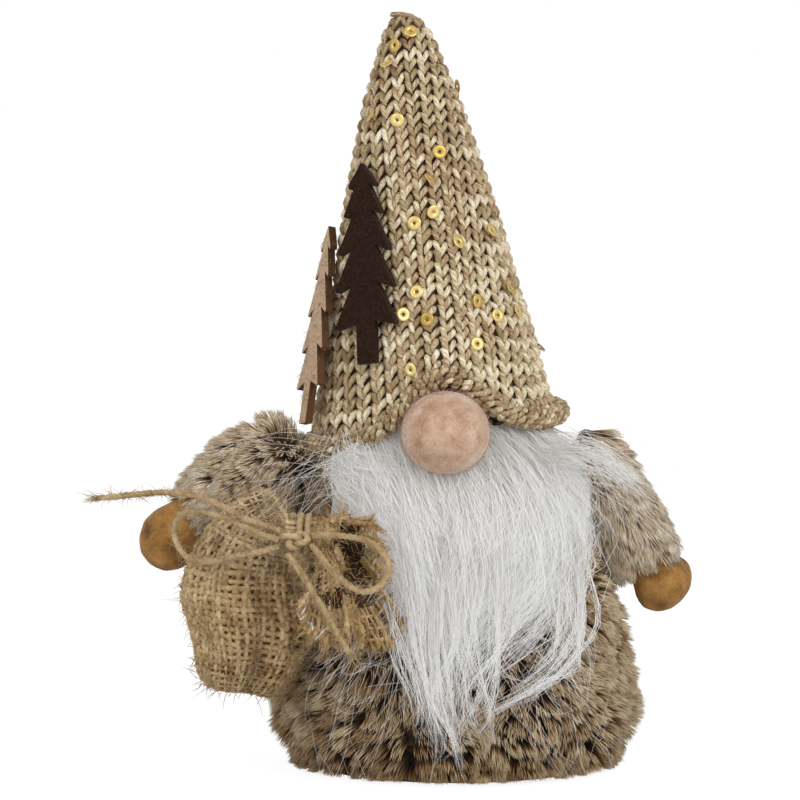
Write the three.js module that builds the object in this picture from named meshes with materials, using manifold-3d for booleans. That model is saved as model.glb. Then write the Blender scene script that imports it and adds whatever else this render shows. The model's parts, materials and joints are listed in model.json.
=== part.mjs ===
// A gnome ornament of fur, knit, felt and burlap: a weighted, stuffed fur body under a knitted
// hat, with a felt-ball nose, a long white beard, two fur sleeves ending in suede mitts, and a
// burlap sack tied with jute twine that hangs from one sleeve.
// Millimetres, +Z up, front towards -Y. The origin is the middle of the flat base.
import * as THREE from "three";
import { mergeVertices } from "three/addons/utils/BufferGeometryUtils.js";
import Module from "manifold-3d";

const wasm = await Module();
wasm.setup();

// Driving dimensions: general
const CLEARANCE = 0.3;
const LEAN = 4.3;
const LEAN_START = 27;

// Driving dimensions: body and base
const BODY_WIDTH = 95;
const BODY_DEPTH = 83;
const BODY_HEIGHT = 94;
const BODY_PILE = 8;
const HEM_HEIGHT = 10;
const HEM_INSET = 6;
const HEM_PILE = 5.5;
const BASE_CLOTH_THICKNESS = 0.8;
const BASE_BOARD_THICKNESS = 2;
const BALLAST_HEIGHT = 12;

// Driving dimensions: hat and what is glued to it
const HAT_WIDTH = 67.5;
const HAT_DEPTH = 62;
const HAT_TALL = 106;
const HAT_WALL = 2.4;
const STUFFING_GAP = 0.7;
const BRIM_ROLL = 5;
const BRIM_TILT = 7.4;
const BRIM_PUSH = 3.6;
const BRIM_LIFT_SPREAD = 18;
const BRIM_DROP = 2.6;
const TREE_TALL = 53;
const TREE_WIDTH = 19.2;
const TREE_THICKNESS = 2;
const TRUNK_WIDTH = 5.6;
const TREE_GLUE = 1.4;
const TREE_GLUE_RADIUS = 3;
const DARK_TREE_TURN = -37;
const DARK_TREE_SHARE = 0.388;
const DARK_TREE_TILT = 8;
const LIGHT_TREE_TURN = -75;
const LIGHT_TREE_SHARE = 0.226;
const LIGHT_TREE_TILT = 9;
const SEQUIN_DIAMETER = 3.5;
const SEQUIN_HOLE = 1.2;
const SEQUIN_THICKNESS = 0.25;

// Driving dimensions: face
const NOSE_WIDTH = 23.4;
const NOSE_TALL = 21.8;
const NOSE_DROP = 1.4;
const NOSE_TURN = 4.6;
const BEARD_DROP = 1;
const BEARD_STRIP = 16;
const BEARD_BACKING = 1.2;
const BEARD_PILE = 7;

// Driving dimensions: sleeves and mitts
const SHOULDER_DIAMETER = 18.4;
const SLEEVE_WALL = 3.5;
const SACK_SLEEVE_LENGTH = 23;
const SACK_SLEEVE_WIDTH = 27;
const SACK_SLEEVE_DROOP = 18;
const SACK_SLEEVE_FORWARD = 0.42;
const SACK_SHOULDER_HEIGHT = 77.4;
const SACK_SHOULDER_FRONT = 1;
const FREE_SLEEVE_LENGTH = 30;
const FREE_SLEEVE_WIDTH = 21;
const FREE_SLEEVE_DROOP = 64;
const FREE_SLEEVE_FORWARD = 0.1;
const FREE_SHOULDER_HEIGHT = 82;
const FREE_SHOULDER_FRONT = 4;
const MITT_LENGTH = 19.5;
const MITT_WIDTH = 17.4;
const MITT_DROOP = 52;
const FREE_MITT_LENGTH = 12;
const FREE_MITT_DROOP = 44;
const WRIST_DEPTH = 5;
const MITT_NECK = 1;

// Driving dimensions: sack and twine
const SACK_TALL = 56;
const SACK_WIDTH = 33;
const SACK_THICKNESS = 28;
const SACK_CLOTH = 1.2;
const SACK_HANG = 10.1;
const SACK_ASIDE = 6.8;
const NECK_DIAMETER = 7.2;
const NECK_LENGTH = 6;
const FRILL_LENGTH = 32;
const FRILL_DEPTH = 14;
const FRILL_FOLD = 0.12;
const FRILL_FOLDS = 5;
const FRILL_TURN = -27;
const FRILL_REST_HEIGHT = 40.4;
const SACK_GLUE_RADIUS = 2.2;
const SACK_GLUE_ASIDE = 11.2;
const SACK_GLUE_RISE = 2.5;
const TWINE = 1.6;
const TIE_TURNS = 2;
const TIE_GAP = 0.5;
const TIE_SIDES = 6;
const TIE_POINTS = 12;
const KNOT_WIDTH = 8;
const KNOT_DEPTH = 4.8;
const KNOT_TALL = 5.6;

const radians = THREE.MathUtils.degToRad;

// Every piece and its colour are gathered here
const gnome = new THREE.Group();

function addPiece(name, geometry, color, roughness, metalness = 0) {
  const material = new THREE.MeshStandardMaterial({ color, roughness, metalness });
  const mesh = new THREE.Mesh(geometry, material);
  mesh.name = name;
  gnome.add(mesh);
}

// Value of a form, a list of [place, share] pairs, at one place
function formAt(form, place) {
  for (let i = 1; i < form.length; i += 1) {
    const [before, low] = form[i - 1];
    const [after, high] = form[i];
    if (place <= after) {
      const blend = Math.max(0, (place - before) / (after - before));
      return low + (high - low) * blend;
    }
  }
  return form[form.length - 1][1];
}

// A closed body from rings of points. A ring of one point closes an end to a tip, and rings
// without tips close on themselves, as a tube's wall does.
function skin(rings) {
  const around = Math.max(...rings.map((ring) => ring.length));
  const positions = [];
  const corner = (ring, i) => ring[ring.length === 1 ? 0 : i % around];
  const tipped = rings[0].length === 1;
  const last = tipped ? rings.length - 1 : rings.length;
  for (let r = 0; r < last; r += 1) {
    const here = rings[r];
    const next = rings[(r + 1) % rings.length];
    for (let i = 0; i < around; i += 1) {
      const quad = [corner(here, i), corner(here, i + 1), corner(next, i + 1), corner(next, i)];
      if (here.length > 1) positions.push(quad[0], quad[1], quad[2]);
      if (next.length > 1) positions.push(quad[0], quad[2], quad[3]);
    }
  }
  return facingOut(new THREE.BufferGeometry().setFromPoints(positions));
}

// The same triangles with their faces turned outwards
function facingOut(geometry) {
  const p = geometry.attributes.position;
  const a = new THREE.Vector3();
  const b = new THREE.Vector3();
  const c = new THREE.Vector3();
  let volume = 0;
  for (let i = 0; i < p.count; i += 3) {
    a.fromBufferAttribute(p, i);
    b.fromBufferAttribute(p, i + 1);
    c.fromBufferAttribute(p, i + 2);
    volume += a.dot(b.cross(c));
  }
  if (volume < 0) {
    for (let i = 0; i < p.count; i += 3) {
      b.fromBufferAttribute(p, i + 1);
      c.fromBufferAttribute(p, i + 2);
      p.setXYZ(i + 1, c.x, c.y, c.z);
      p.setXYZ(i + 2, b.x, b.y, b.z);
    }
  }
  return geometry;
}

// One body with others cut away
function toSolid(geometry) {
  const bare = new THREE.BufferGeometry();
  const flat = geometry.index ? geometry.toNonIndexed() : geometry;
  bare.setAttribute("position", flat.attributes.position.clone());
  const merged = mergeVertices(bare, 1e-4);
  return new wasm.Manifold(new wasm.Mesh({
    numProp: 3,
    vertProperties: new Float32Array(merged.attributes.position.array),
    triVerts: new Uint32Array(merged.index.array),
  }));
}

function cut(geometry, ...cutters) {
  let solid = toSolid(geometry);
  for (const cutter of cutters) solid = solid.subtract(toSolid(cutter));
  const mesh = solid.getMesh();
  const result = new THREE.BufferGeometry();
  result.setAttribute("position", new THREE.BufferAttribute(new Float32Array(mesh.vertProperties), 3));
  result.setIndex(new THREE.BufferAttribute(new Uint32Array(mesh.triVerts), 1));
  return result;
}

// Body: where the fur's surface lies. A turn of 0 is the front and grows towards +X.
const BODY_FORM = [
  [0, 0.93], [0.045, 0.985], [0.105, 1], [0.167, 1], [0.31, 0.955], [0.476, 0.905],
  [0.595, 0.835], [0.714, 0.75], [0.833, 0.68], [0.94, 0.6], [1.036, 0.53],
  [1.083, 0.42], [1.113, 0.22], [1.131, 0],
];
const BODY_SIDES = 28;
const bodySpan = BODY_HEIGHT - HEM_HEIGHT;
const bodyTop = HEM_HEIGHT + bodySpan * BODY_FORM[BODY_FORM.length - 1][0];

function leanAt(height) {
  return -Math.tan(radians(LEAN)) * Math.max(0, height - LEAN_START);
}

function bodyPoint(turn, height, grow = 0) {
  const share = formAt(BODY_FORM, (height - HEM_HEIGHT) / bodySpan);
  return new THREE.Vector3(
    leanAt(height) + (BODY_WIDTH / 2 * share + grow) * Math.sin(turn),
    -(BODY_DEPTH / 2 * share + grow) * Math.cos(turn),
    height,
  );
}

// How far out the middle of a ball lies when it rests against the body's sloping side
const LEVELS = Array.from({ length: 21 }, (_, i) => i / 10 - 1);

function seatOf(faceAt, height, tall, radius) {
  return Math.max(...LEVELS.map((level) =>
    faceAt(height + level * tall / 2) + (radius + 1.5 * CLEARANCE) * Math.sqrt(1 - level ** 2)));
}

function ringAt(sides, pointAt) {
  return Array.from({ length: sides }, (_, i) => pointAt(2 * Math.PI * i / sides));
}

// Base: a felt disc that the gnome stands on, a card disc above it, and the ballast bag
const baseRatio = BODY_DEPTH / BODY_WIDTH;
const hemHalf = BODY_WIDTH / 2 - HEM_INSET;
const hemInner = hemHalf - HEM_PILE;
const baseClothRadius = hemInner - CLEARANCE;
const baseBoardRadius = baseClothRadius - CLEARANCE;
const boardBottom = BASE_CLOTH_THICKNESS + CLEARANCE;
const ballastBottom = boardBottom + BASE_BOARD_THICKNESS + CLEARANCE;
const BASE_SIDES = 40;

function disc(radius, bottom, thickness) {
  const rim = (height) => ringAt(BASE_SIDES, (turn) => new THREE.Vector3(
    radius * Math.sin(turn), -radius * baseRatio * Math.cos(turn), height));
  const middle = (height) => [new THREE.Vector3(0, 0, height)];
  return skin([middle(bottom), rim(bottom), rim(bottom + thickness), middle(bottom + thickness)]);
}

addPiece("base_cloth", disc(baseClothRadius, 0, BASE_CLOTH_THICKNESS), 0x6b5742, 0.95);
addPiece("base_board", disc(baseBoardRadius, boardBottom, BASE_BOARD_THICKNESS), 0xa98f6a, 0.9);

const BALLAST_FORM = [[0, 0.86], [0.2, 0.97], [0.5, 1], [0.8, 0.93], [1, 0.76]];
const ballastRings = BALLAST_FORM.map(([share, width]) => ringAt(BODY_SIDES, (turn) => {
  const rim = bodyPoint(turn, HEM_HEIGHT, -BODY_PILE - CLEARANCE);
  return new THREE.Vector3(rim.x * width, rim.y * width, ballastBottom + BALLAST_HEIGHT * share);
}));
const ballastTop = ballastBottom + BALLAST_HEIGHT;
addPiece("ballast_bag", skin([
  [new THREE.Vector3(0, 0, ballastBottom)], ...ballastRings, [new THREE.Vector3(0, 0, ballastTop)],
]), 0xd8d2c4, 0.9);

// Hem: the band of downward pile round the base, with its face on the seam
const HEM_FORM = [[0, 0.95], [0.35, 1], [0.75, 1], [1, 0.97]];
const hemPoint = (turn, share, inner) => {
  const half = inner ? hemInner : hemHalf * formAt(HEM_FORM, share);
  return new THREE.Vector3(half * Math.sin(turn), -half * baseRatio * Math.cos(turn),
    CLEARANCE + (HEM_HEIGHT - 2 * CLEARANCE) * share);
};
addPiece("hem_band", skin([
  ...HEM_FORM.map(([share]) => ringAt(BODY_SIDES, (turn) => hemPoint(turn, share, false))),
  ringAt(BODY_SIDES, (turn) => hemPoint(turn, 1, true)),
  ringAt(BODY_SIDES, (turn) => hemPoint(turn, 0, true)),
]), 0x8f7860, 1);

// Body fur: a cup open at the base, and the stuffing that fills it above the ballast
const bodyHeights = BODY_FORM.slice(0, -1).map(([place]) => HEM_HEIGHT + bodySpan * place);
const innerLow = Math.max(HEM_HEIGHT, ballastTop + CLEARANCE);

function bodyRing(height, grow) {
  return ringAt(BODY_SIDES, (turn) => bodyPoint(turn, height, grow));
}

const bodyInside = bodyHeights.filter((height) => height < bodyTop - BODY_PILE);
addPiece("body_fur", skin([
  [new THREE.Vector3(leanAt(bodyTop), 0, bodyTop)],
  ...bodyHeights.toReversed().map((height) => bodyRing(height, 0)),
  ...bodyInside.map((height) => bodyRing(height, -BODY_PILE)),
  [new THREE.Vector3(leanAt(bodyTop), 0, bodyTop - BODY_PILE)],
]), 0x9c8467, 1);

const stuffingHeights = [innerLow, ...bodyInside.filter((height) => height > innerLow + CLEARANCE)];
const stuffingTop = bodyTop - BODY_PILE - CLEARANCE;
addPiece("body_stuffing", skin([
  [new THREE.Vector3(0, 0, innerLow)],
  ...stuffingHeights.map((height) => bodyRing(height, -BODY_PILE - CLEARANCE)),
  [new THREE.Vector3(leanAt(stuffingTop), 0, stuffingTop)],
]), 0xf2efe8, 1);

// Nose: a felt ball against the front of the body
const noseTurn = radians(NOSE_TURN);
const noseRadius = NOSE_WIDTH / 2;
const noseHeight = BODY_HEIGHT - NOSE_DROP;
const noseSeat = seatOf((height) => -bodyPoint(noseTurn, height).y, noseHeight, NOSE_TALL, noseRadius);
const noseCentre = new THREE.Vector3(bodyPoint(noseTurn, noseHeight).x, -noseSeat, noseHeight);

function noseBall(grow, across, down) {
  const ball = new THREE.SphereGeometry(noseRadius + grow, across, down);
  ball.rotateX(Math.PI / 2);
  ball.scale(1, 1, NOSE_TALL / NOSE_WIDTH);
  ball.translate(noseCentre.x, noseCentre.y, noseCentre.z);
  return ball;
}

addPiece("nose_ball", noseBall(0, 20, 12), 0xd4a68c, 0.95);

// Hat: where the knit's outer face lies, from the brim to the tip
const HAT_FORM = [
  [0, 0.975], [0.06, 0.905], [0.104, 0.873], [0.208, 0.818], [0.302, 0.741], [0.406, 0.673],
  [0.5, 0.611], [0.594, 0.537], [0.698, 0.451], [0.792, 0.368], [0.849, 0.302],
  [0.915, 0.232], [0.962, 0.173], [0.99, 0.1],
];
const HAT_SIDES = 32;
const hatTip = BODY_HEIGHT + HAT_TALL;
const rollRadius = BRIM_ROLL / 2;
const rollOut = rollRadius - HAT_WALL / 2;
const rollFrontY = -(HAT_DEPTH / 2 - HAT_WALL / 2 + rollOut + BRIM_PUSH);
const noseToRoll = NOSE_TALL / 2 + rollRadius + 2 * CLEARANCE;
const rollFrontZ = noseHeight + Math.sqrt(noseToRoll ** 2 - (rollFrontY - noseCentre.y) ** 2);
const brimSlope = Math.tan(radians(BRIM_TILT));
const brimLift = rollFrontZ - BODY_HEIGHT + BRIM_DROP - brimSlope * noseCentre.x;

function noseNearness(turn) {
  const away = Math.atan2(Math.sin(turn - noseTurn), Math.cos(turn - noseTurn));
  return Math.exp(-0.5 * (away / radians(BRIM_LIFT_SPREAD)) ** 2);
}

function brimHeight(turn) {
  const x = leanAt(BODY_HEIGHT) + HAT_WIDTH / 2 * Math.sin(turn);
  return BODY_HEIGHT - BRIM_DROP + brimSlope * x + brimLift * noseNearness(turn);
}

function hatPoint(turn, height, inset = 0) {
  const share = formAt(HAT_FORM, (height - BODY_HEIGHT) / HAT_TALL);
  const push = BRIM_PUSH * noseNearness(turn) * Math.exp((brimHeight(turn) - height) / (HAT_WIDTH / 4));
  return new THREE.Vector3(
    leanAt(height) + (HAT_WIDTH / 2 * share - inset) * Math.sin(turn),
    -(HAT_DEPTH / 2 * share - inset) * Math.cos(turn) - push,
    height,
  );
}

const HAT_STEPS = [0.05, ...HAT_FORM.slice(1).map(([place]) => place)];
const hatRing = (share, inset) => ringAt(HAT_SIDES, (turn) => {
  const low = brimHeight(turn);
  return hatPoint(turn, low + share * (hatTip - low), inset);
});
const hatTipPoint = (inset) => [new THREE.Vector3(leanAt(hatTip), 0, hatTip - inset)];

// The rolled edge turns outwards and up, from the wall's inner face round to its outer face
const ROLL_ANGLES = [180, 225, 270, 315, 0, 65];
const rollRings = ROLL_ANGLES.map((angle) => ringAt(HAT_SIDES, (turn) => {
  const centre = hatPoint(turn, brimHeight(turn), HAT_WALL / 2);
  const out = rollOut + rollRadius * Math.cos(radians(angle));
  return centre.add(new THREE.Vector3(out * Math.sin(turn), -out * Math.cos(turn),
    rollRadius * Math.sin(radians(angle))));
}));
const hatTipInside = 2 * HAT_WALL;
const hatInside = HAT_STEPS.filter((share) => HAT_TALL * (1 - share) > hatTipInside + HAT_WALL);
addPiece("hat_knit", skin([
  hatTipPoint(hatTipInside),
  ...hatInside.toReversed().map((share) => hatRing(share, HAT_WALL)),
  ...rollRings,
  ...HAT_STEPS.map((share) => hatRing(share, 0)),
  hatTipPoint(0),
]), 0xc9b183, 0.75);

// Stuffing in the hat, flat where it sits on the top of the body
const hatStuffingLow = bodyTop + CLEARANCE;
const hatStuffingRing = (height) =>
  ringAt(HAT_SIDES, (turn) => hatPoint(turn, height, HAT_WALL + STUFFING_GAP));
const hatStuffingHeights = [hatStuffingLow, ...hatInside.map((share) => BODY_HEIGHT + HAT_TALL * share)
  .filter((height) => height > hatStuffingLow + HAT_WALL)];
const hatStuffingTop = hatTip - hatTipInside - STUFFING_GAP;
addPiece("hat_stuffing", skin([
  [new THREE.Vector3(leanAt(hatStuffingLow), 0, hatStuffingLow)],
  ...hatStuffingHeights.map(hatStuffingRing),
  [new THREE.Vector3(leanAt(hatStuffingTop), 0, hatStuffingTop)],
]), 0xf2efe8, 1);

// Axes of something flat laid on the hat: X along the knit, Y up it and Z out of it
function hatFrame(turn, height, tilt = 0) {
  const step = 0.5;
  const turnStep = radians(step);
  const around = hatPoint(turn + turnStep, height).sub(hatPoint(turn - turnStep, height)).normalize();
  const up = hatPoint(turn, height + step).sub(hatPoint(turn, height - step)).normalize();
  const out = around.clone().cross(up).normalize();
  const frame = new THREE.Matrix4().makeBasis(around, out.clone().cross(around), out);
  return frame.multiply(new THREE.Matrix4().makeRotationZ(radians(tilt)));
}

// Trees: two laser-cut fir trees, each held off the knit by a dab of glue
const TREE_TIERS = [
  { tooth: 0.125, width: 0.44, notch: 0.1 },
  { tooth: 0.265, width: 0.61, notch: 0.235 },
  { tooth: 0.45, width: 0.85, notch: 0.415 },
  { tooth: 0.635, width: 0.97, notch: 0.6 },
  { tooth: 0.82, width: 1, notch: 0.79 },
];
const TREE_NOTCH_SHARE = 0.42;

function treeOutline() {
  const half = [];
  TREE_TIERS.forEach(({ tooth, width, notch }, tier) => {
    const reach = TREE_WIDTH / 2 * width;
    const last = tier === TREE_TIERS.length - 1;
    half.push([reach * 0.96, TREE_TALL * (0.5 - tooth + 0.022)]);
    half.push([reach, TREE_TALL * (0.5 - tooth + 0.008)]);
    half.push([reach * 0.93, TREE_TALL * (0.5 - tooth)]);
    half.push([last ? TRUNK_WIDTH / 2 : reach * TREE_NOTCH_SHARE, TREE_TALL * (0.5 - notch)]);
  });
  half.push([TRUNK_WIDTH / 2, -TREE_TALL / 2]);
  const outline = [[0, TREE_TALL / 2], ...half, ...half.toReversed().map(([x, y]) => [-x, y])];
  return new THREE.Shape(outline.map(([x, y]) => new THREE.Vector2(x, y)));
}

function addTree(name, turn, share, tilt, color) {
  const at = radians(turn);
  const height = BODY_HEIGHT + HAT_TALL * share;
  const frame = hatFrame(at, height, tilt);
  const out = new THREE.Vector3().setFromMatrixColumn(frame, 2);
  const seat = hatPoint(at, height);
  let proud = 0;
  for (let place = -0.5; place <= 0.5; place += 0.05) {
    const along = new THREE.Vector3().setFromMatrixColumn(frame, 1).multiplyScalar(place * TREE_TALL);
    const beside = hatPoint(at - radians(tilt) * place, height + along.z);
    proud = Math.max(proud, beside.sub(seat).dot(out));
  }
  const place = frame.clone().setPosition(seat.clone().addScaledVector(out, proud + TREE_GLUE));
  const plank = new THREE.ExtrudeGeometry(treeOutline(), { depth: TREE_THICKNESS, bevelEnabled: false });
  addPiece(name, plank.applyMatrix4(place), color, 0.8);
  const dab = new THREE.CylinderGeometry(TREE_GLUE_RADIUS, TREE_GLUE_RADIUS, proud + 2 * TREE_GLUE, 16);
  dab.rotateX(Math.PI / 2).translate(0, 0, -(proud + 2 * TREE_GLUE) / 2 - CLEARANCE);
  addPiece(`${name}_glue`, cut(dab.applyMatrix4(place), hatBlock(CLEARANCE)), 0xe8e2cf, 0.4);
}

// The hat's outer form as one block, for cutting what sits on it
function hatBlock(grow) {
  return skin([
    [new THREE.Vector3(leanAt(BODY_HEIGHT), 0, BODY_HEIGHT)],
    ...[BODY_HEIGHT, ...HAT_STEPS.map((share) => BODY_HEIGHT + HAT_TALL * share)]
      .map((height) => ringAt(HAT_SIDES, (turn) => hatPoint(turn, height, -grow))),
    [new THREE.Vector3(leanAt(hatTip), 0, hatTip + grow)],
  ]);
}

addTree("tree_dark", DARK_TREE_TURN, DARK_TREE_SHARE, DARK_TREE_TILT, 0x2e1a12);
addTree("tree_light", LIGHT_TREE_TURN, LIGHT_TREE_SHARE, LIGHT_TREE_TILT, 0x9c7a5c);

// Sequins: gold rings knitted in with the yarn. Each has a turn in degrees and a share of the
// hat's height. The first ones are where they show, and the rest are scattered round the back.
const FRONT_SEQUINS = [
  [8, 0.962], [-25, 0.928], [-37, 0.882], [-17, 0.744], [-50, 0.752], [21, 0.666], [9, 0.6],
  [9, 0.519], [-5, 0.492], [24, 0.445], [55, 0.47], [-6, 0.325], [-14, 0.269], [-1, 0.258],
  [30, 0.3], [60, 0.323], [42, 0.263], [61, 0.269], [25, 0.197], [-11, 0.136],
];
const BACK_SEQUIN_COUNT = 8;
const GOLDEN_TURN = 137.5;
const backSequins = Array.from({ length: BACK_SEQUIN_COUNT }, (_, i) => [
  180 + ((i * GOLDEN_TURN) % 160) - 80,
  0.12 + 0.75 * (i + 0.5) / BACK_SEQUIN_COUNT,
]);

[...FRONT_SEQUINS, ...backSequins].forEach(([turn, share], i) => {
  const height = BODY_HEIGHT + HAT_TALL * share;
  const seat = hatPoint(radians(turn), height);
  const frame = hatFrame(radians(turn), height);
  const out = new THREE.Vector3().setFromMatrixColumn(frame, 2);
  const half = SEQUIN_THICKNESS / 2;
  const bow = SEQUIN_DIAMETER ** 2 / (8 * HAT_WIDTH / 2 * formAt(HAT_FORM, share));
  const section = [[SEQUIN_HOLE, -half], [SEQUIN_DIAMETER, -half], [SEQUIN_DIAMETER, half],
    [SEQUIN_HOLE, half], [SEQUIN_HOLE, -half]].map(([across, y]) => new THREE.Vector2(across / 2, y));
  const ring = new THREE.LatheGeometry(section, 8);
  ring.rotateX(Math.PI / 2);
  ring.applyMatrix4(frame.setPosition(seat.addScaledVector(out, CLEARANCE + half + bow / 2)));
  addPiece(`sequin_${String(i + 1).padStart(2, "0")}`, facingOut(ring.toNonIndexed()), 0xd9a93e, 0.25, 1);
});

// A sheet laid on the body between two faces, on a grid of turns by shares from top to bottom
function sheetOnBody(turns, shares, pointAt) {
  const front = shares.map((share) => turns.map((turn, i) => pointAt(i, turn, share, true)));
  const back = shares.map((share) => turns.map((turn, i) => pointAt(i, turn, share, false)));
  const positions = [];
  const quad = (a, b, c, d) => positions.push(a, b, c, a, c, d);
  const rows = shares.length - 1;
  const columns = turns.length - 1;
  for (let r = 0; r < rows; r += 1) {
    for (let c = 0; c < columns; c += 1) {
      quad(front[r][c], front[r + 1][c], front[r + 1][c + 1], front[r][c + 1]);
      quad(back[r][c], back[r][c + 1], back[r + 1][c + 1], back[r + 1][c]);
    }
    quad(front[r][0], back[r][0], back[r + 1][0], front[r + 1][0]);
    quad(front[r][columns], front[r + 1][columns], back[r + 1][columns], back[r][columns]);
  }
  for (let c = 0; c < columns; c += 1) {
    quad(front[0][c], front[0][c + 1], back[0][c + 1], back[0][c]);
    quad(front[rows][c], back[rows][c], back[rows][c + 1], front[rows][c + 1]);
  }
  return facingOut(new THREE.BufferGeometry().setFromPoints(positions));
}

// Beard: a woven strip under the brim, and the long pile that falls from it. The edge lists a
// turn in degrees with the height, as a share of the body's, that the pile hangs down to.
const BEARD_EDGE = [
  [-60, 0.73], [-52, 0.68], [-43, 0.61], [-34, 0.53], [-25, 0.42], [-16, 0.27], [-7, 0.19],
  [2, 0.18], [11, 0.18], [20, 0.2], [29, 0.245], [38, 0.31], [46, 0.4], [53, 0.52], [60, 0.73],
];
const BEARD_ROWS = 9;
const beardTurns = BEARD_EDGE.map(([turn]) => radians(turn));
const beardTop = (turn) => Math.min(brimHeight(turn) - rollRadius - 2 * CLEARANCE, BODY_HEIGHT - BEARD_DROP);
const backingFace = 2 * CLEARANCE;
const pileFace = backingFace + BEARD_BACKING + CLEARANCE;

function beardPile(i, turn, share, isFront) {
  const top = beardTop(turn);
  const height = top + share * (BODY_HEIGHT * BEARD_EDGE[i][1] - top);
  const across = Math.min(i, BEARD_EDGE.length - 1 - i) / (BEARD_EDGE.length / 3);
  const thickness = BEARD_PILE * Math.min(1, 0.25 + across) * Math.min(1, 0.35 + 3 * (1 - share));
  return bodyPoint(turn, height, pileFace + (isFront ? thickness : 0));
}

function beardBacking(i, turn, share, isFront) {
  const top = beardTop(turn);
  const height = top - share * BEARD_STRIP;
  return bodyPoint(turn, height, backingFace + (isFront ? BEARD_BACKING : 0));
}

const noseHole = noseBall(2 * CLEARANCE, 20, 12);
const beardShares = Array.from({ length: BEARD_ROWS + 1 }, (_, i) => i / BEARD_ROWS);
addPiece("beard_backing", cut(
  sheetOnBody(beardTurns.slice(1, -1), [0, 0.33, 0.66, 1], (i, turn, share, isFront) =>
    beardBacking(i + 1, turn, share, isFront)), noseHole), 0xd9d6cf, 1);
addPiece("beard_pile", cut(sheetOnBody(beardTurns, beardShares, beardPile), noseHole), 0xf1f0ee, 0.9);

// A limb along a curve: rings square to it, each with a share of its length, a half-width, a
// half-depth along Y and a lift off the curve
function limb(curve, stations, sides = 16) {
  return skin(stations.map(({ at, half, deep, lift = 0 }) => {
    const centre = curve.getPointAt(at);
    const along = curve.getTangentAt(at);
    const side = new THREE.Vector3(0, 1, 0).addScaledVector(along, -along.y).normalize();
    const up = side.clone().cross(along).normalize();
    centre.addScaledVector(up, up.z < 0 ? -lift : lift);
    if (half === 0) return [centre];
    return ringAt(sides, (turn) => centre.clone()
      .addScaledVector(up, half * Math.cos(turn)).addScaledVector(side, deep * Math.sin(turn)));
  }));
}

// A shoulder is a ball round the joint, so that the arm turns in place beside the body
const shoulderRadius = SHOULDER_DIAMETER / 2;
const SHOULDER_ANGLES = [35, 62];

function shoulderPivot(side, height, front) {
  const seat = seatOf((level) => side * bodyPoint(side * Math.PI / 2, level).x,
    height, SHOULDER_DIAMETER, shoulderRadius);
  return new THREE.Vector3(side * seat, -front, height);
}

// The way a sleeve points: out to one side, down by its droop and a share to the front
function sleeveWay(side, droop, forward) {
  const way = new THREE.Vector3(side * Math.cos(radians(droop)), -forward, -Math.sin(radians(droop)));
  return way.normalize();
}

// A fur sleeve: a shell closed at the shoulder and open at the cuff, and its stuffing
function sleevePieces(name, pivot, along, length, width, form) {
  const start = pivot.clone().addScaledVector(along, -shoulderRadius);
  const reach = shoulderRadius + length;
  const curve = new THREE.LineCurve3(start, pivot.clone().addScaledVector(along, length));
  const ball = SHOULDER_ANGLES.map((angle) => ({
    at: shoulderRadius * (1 - Math.cos(radians(angle))) / reach,
    half: shoulderRadius * Math.sin(radians(angle)),
    lift: 0,
  }));
  const outer = [...ball, ...form.map(({ place, share, lift }) => ({
    at: (shoulderRadius + length * place) / reach,
    half: Math.max(shoulderRadius, width / 2 * share),
    lift: width * lift,
  }))].map((ring) => ({ ...ring, deep: ring.half * 0.92 }));
  const inner = outer.slice(1).map((ring) => ({
    at: ring.at, half: ring.half - SLEEVE_WALL, deep: ring.deep - SLEEVE_WALL, lift: ring.lift,
  }));
  const shell = limb(curve, [
    { at: 0, half: 0 }, ...outer, ...inner.toReversed(),
    { at: SLEEVE_WALL / reach, half: 0 },
  ]);
  addPiece(`${name}_sleeve`, shell, 0xa28a6e, 1);
  const wristPlace = 1 - WRIST_DEPTH / reach;
  const stuffing = inner.filter((ring) => ring.at < wristPlace - 0.02);
  const end = { ...inner[inner.length - 1], at: wristPlace - CLEARANCE / reach };
  addPiece(`${name}_stuffing`, limb(curve, [
    { at: (SLEEVE_WALL + CLEARANCE) / reach, half: 0 },
    ...[...stuffing, end].map((ring) => ({
      ...ring, half: ring.half - CLEARANCE, deep: ring.deep - CLEARANCE,
    })),
    { at: end.at, half: 0, lift: end.lift },
  ]), 0xf2efe8, 1);
  const block = limb(curve, [{ at: 0, half: 0 }, ...outer.map((ring) => ({
    ...ring, half: ring.half + CLEARANCE, deep: ring.deep + CLEARANCE,
  })), { at: 1, half: 0 }]);
  return { cuff: inner[inner.length - 1], mouth: curve.getPointAt(1), block };
}

const sackShoulder = shoulderPivot(-1, SACK_SHOULDER_HEIGHT, SACK_SHOULDER_FRONT);
const sackWay = sleeveWay(-1, SACK_SLEEVE_DROOP, SACK_SLEEVE_FORWARD);
const freeShoulder = shoulderPivot(1, FREE_SHOULDER_HEIGHT, FREE_SHOULDER_FRONT);
const freeWay = sleeveWay(1, FREE_SLEEVE_DROOP, FREE_SLEEVE_FORWARD);
const SACK_SLEEVE_FORM = [
  { place: 0, share: 0.7, lift: 0.02 }, { place: 0.16, share: 0.92, lift: 0.12 },
  { place: 0.36, share: 1, lift: 0.17 }, { place: 0.62, share: 0.93, lift: 0.12 },
  { place: 0.85, share: 0.79, lift: 0.06 }, { place: 1, share: 0.68, lift: 0.03 },
];
const FREE_SLEEVE_FORM = [
  { place: 0, share: 0.88, lift: 0 }, { place: 0.2, share: 0.98, lift: 0 },
  { place: 0.5, share: 1.05, lift: 0.02 }, { place: 0.8, share: 1.06, lift: 0.02 },
  { place: 1, share: 1, lift: 0 },
];
const sackArm = sleevePieces("sack_arm", sackShoulder, sackWay,
  SACK_SLEEVE_LENGTH, SACK_SLEEVE_WIDTH, SACK_SLEEVE_FORM);
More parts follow.
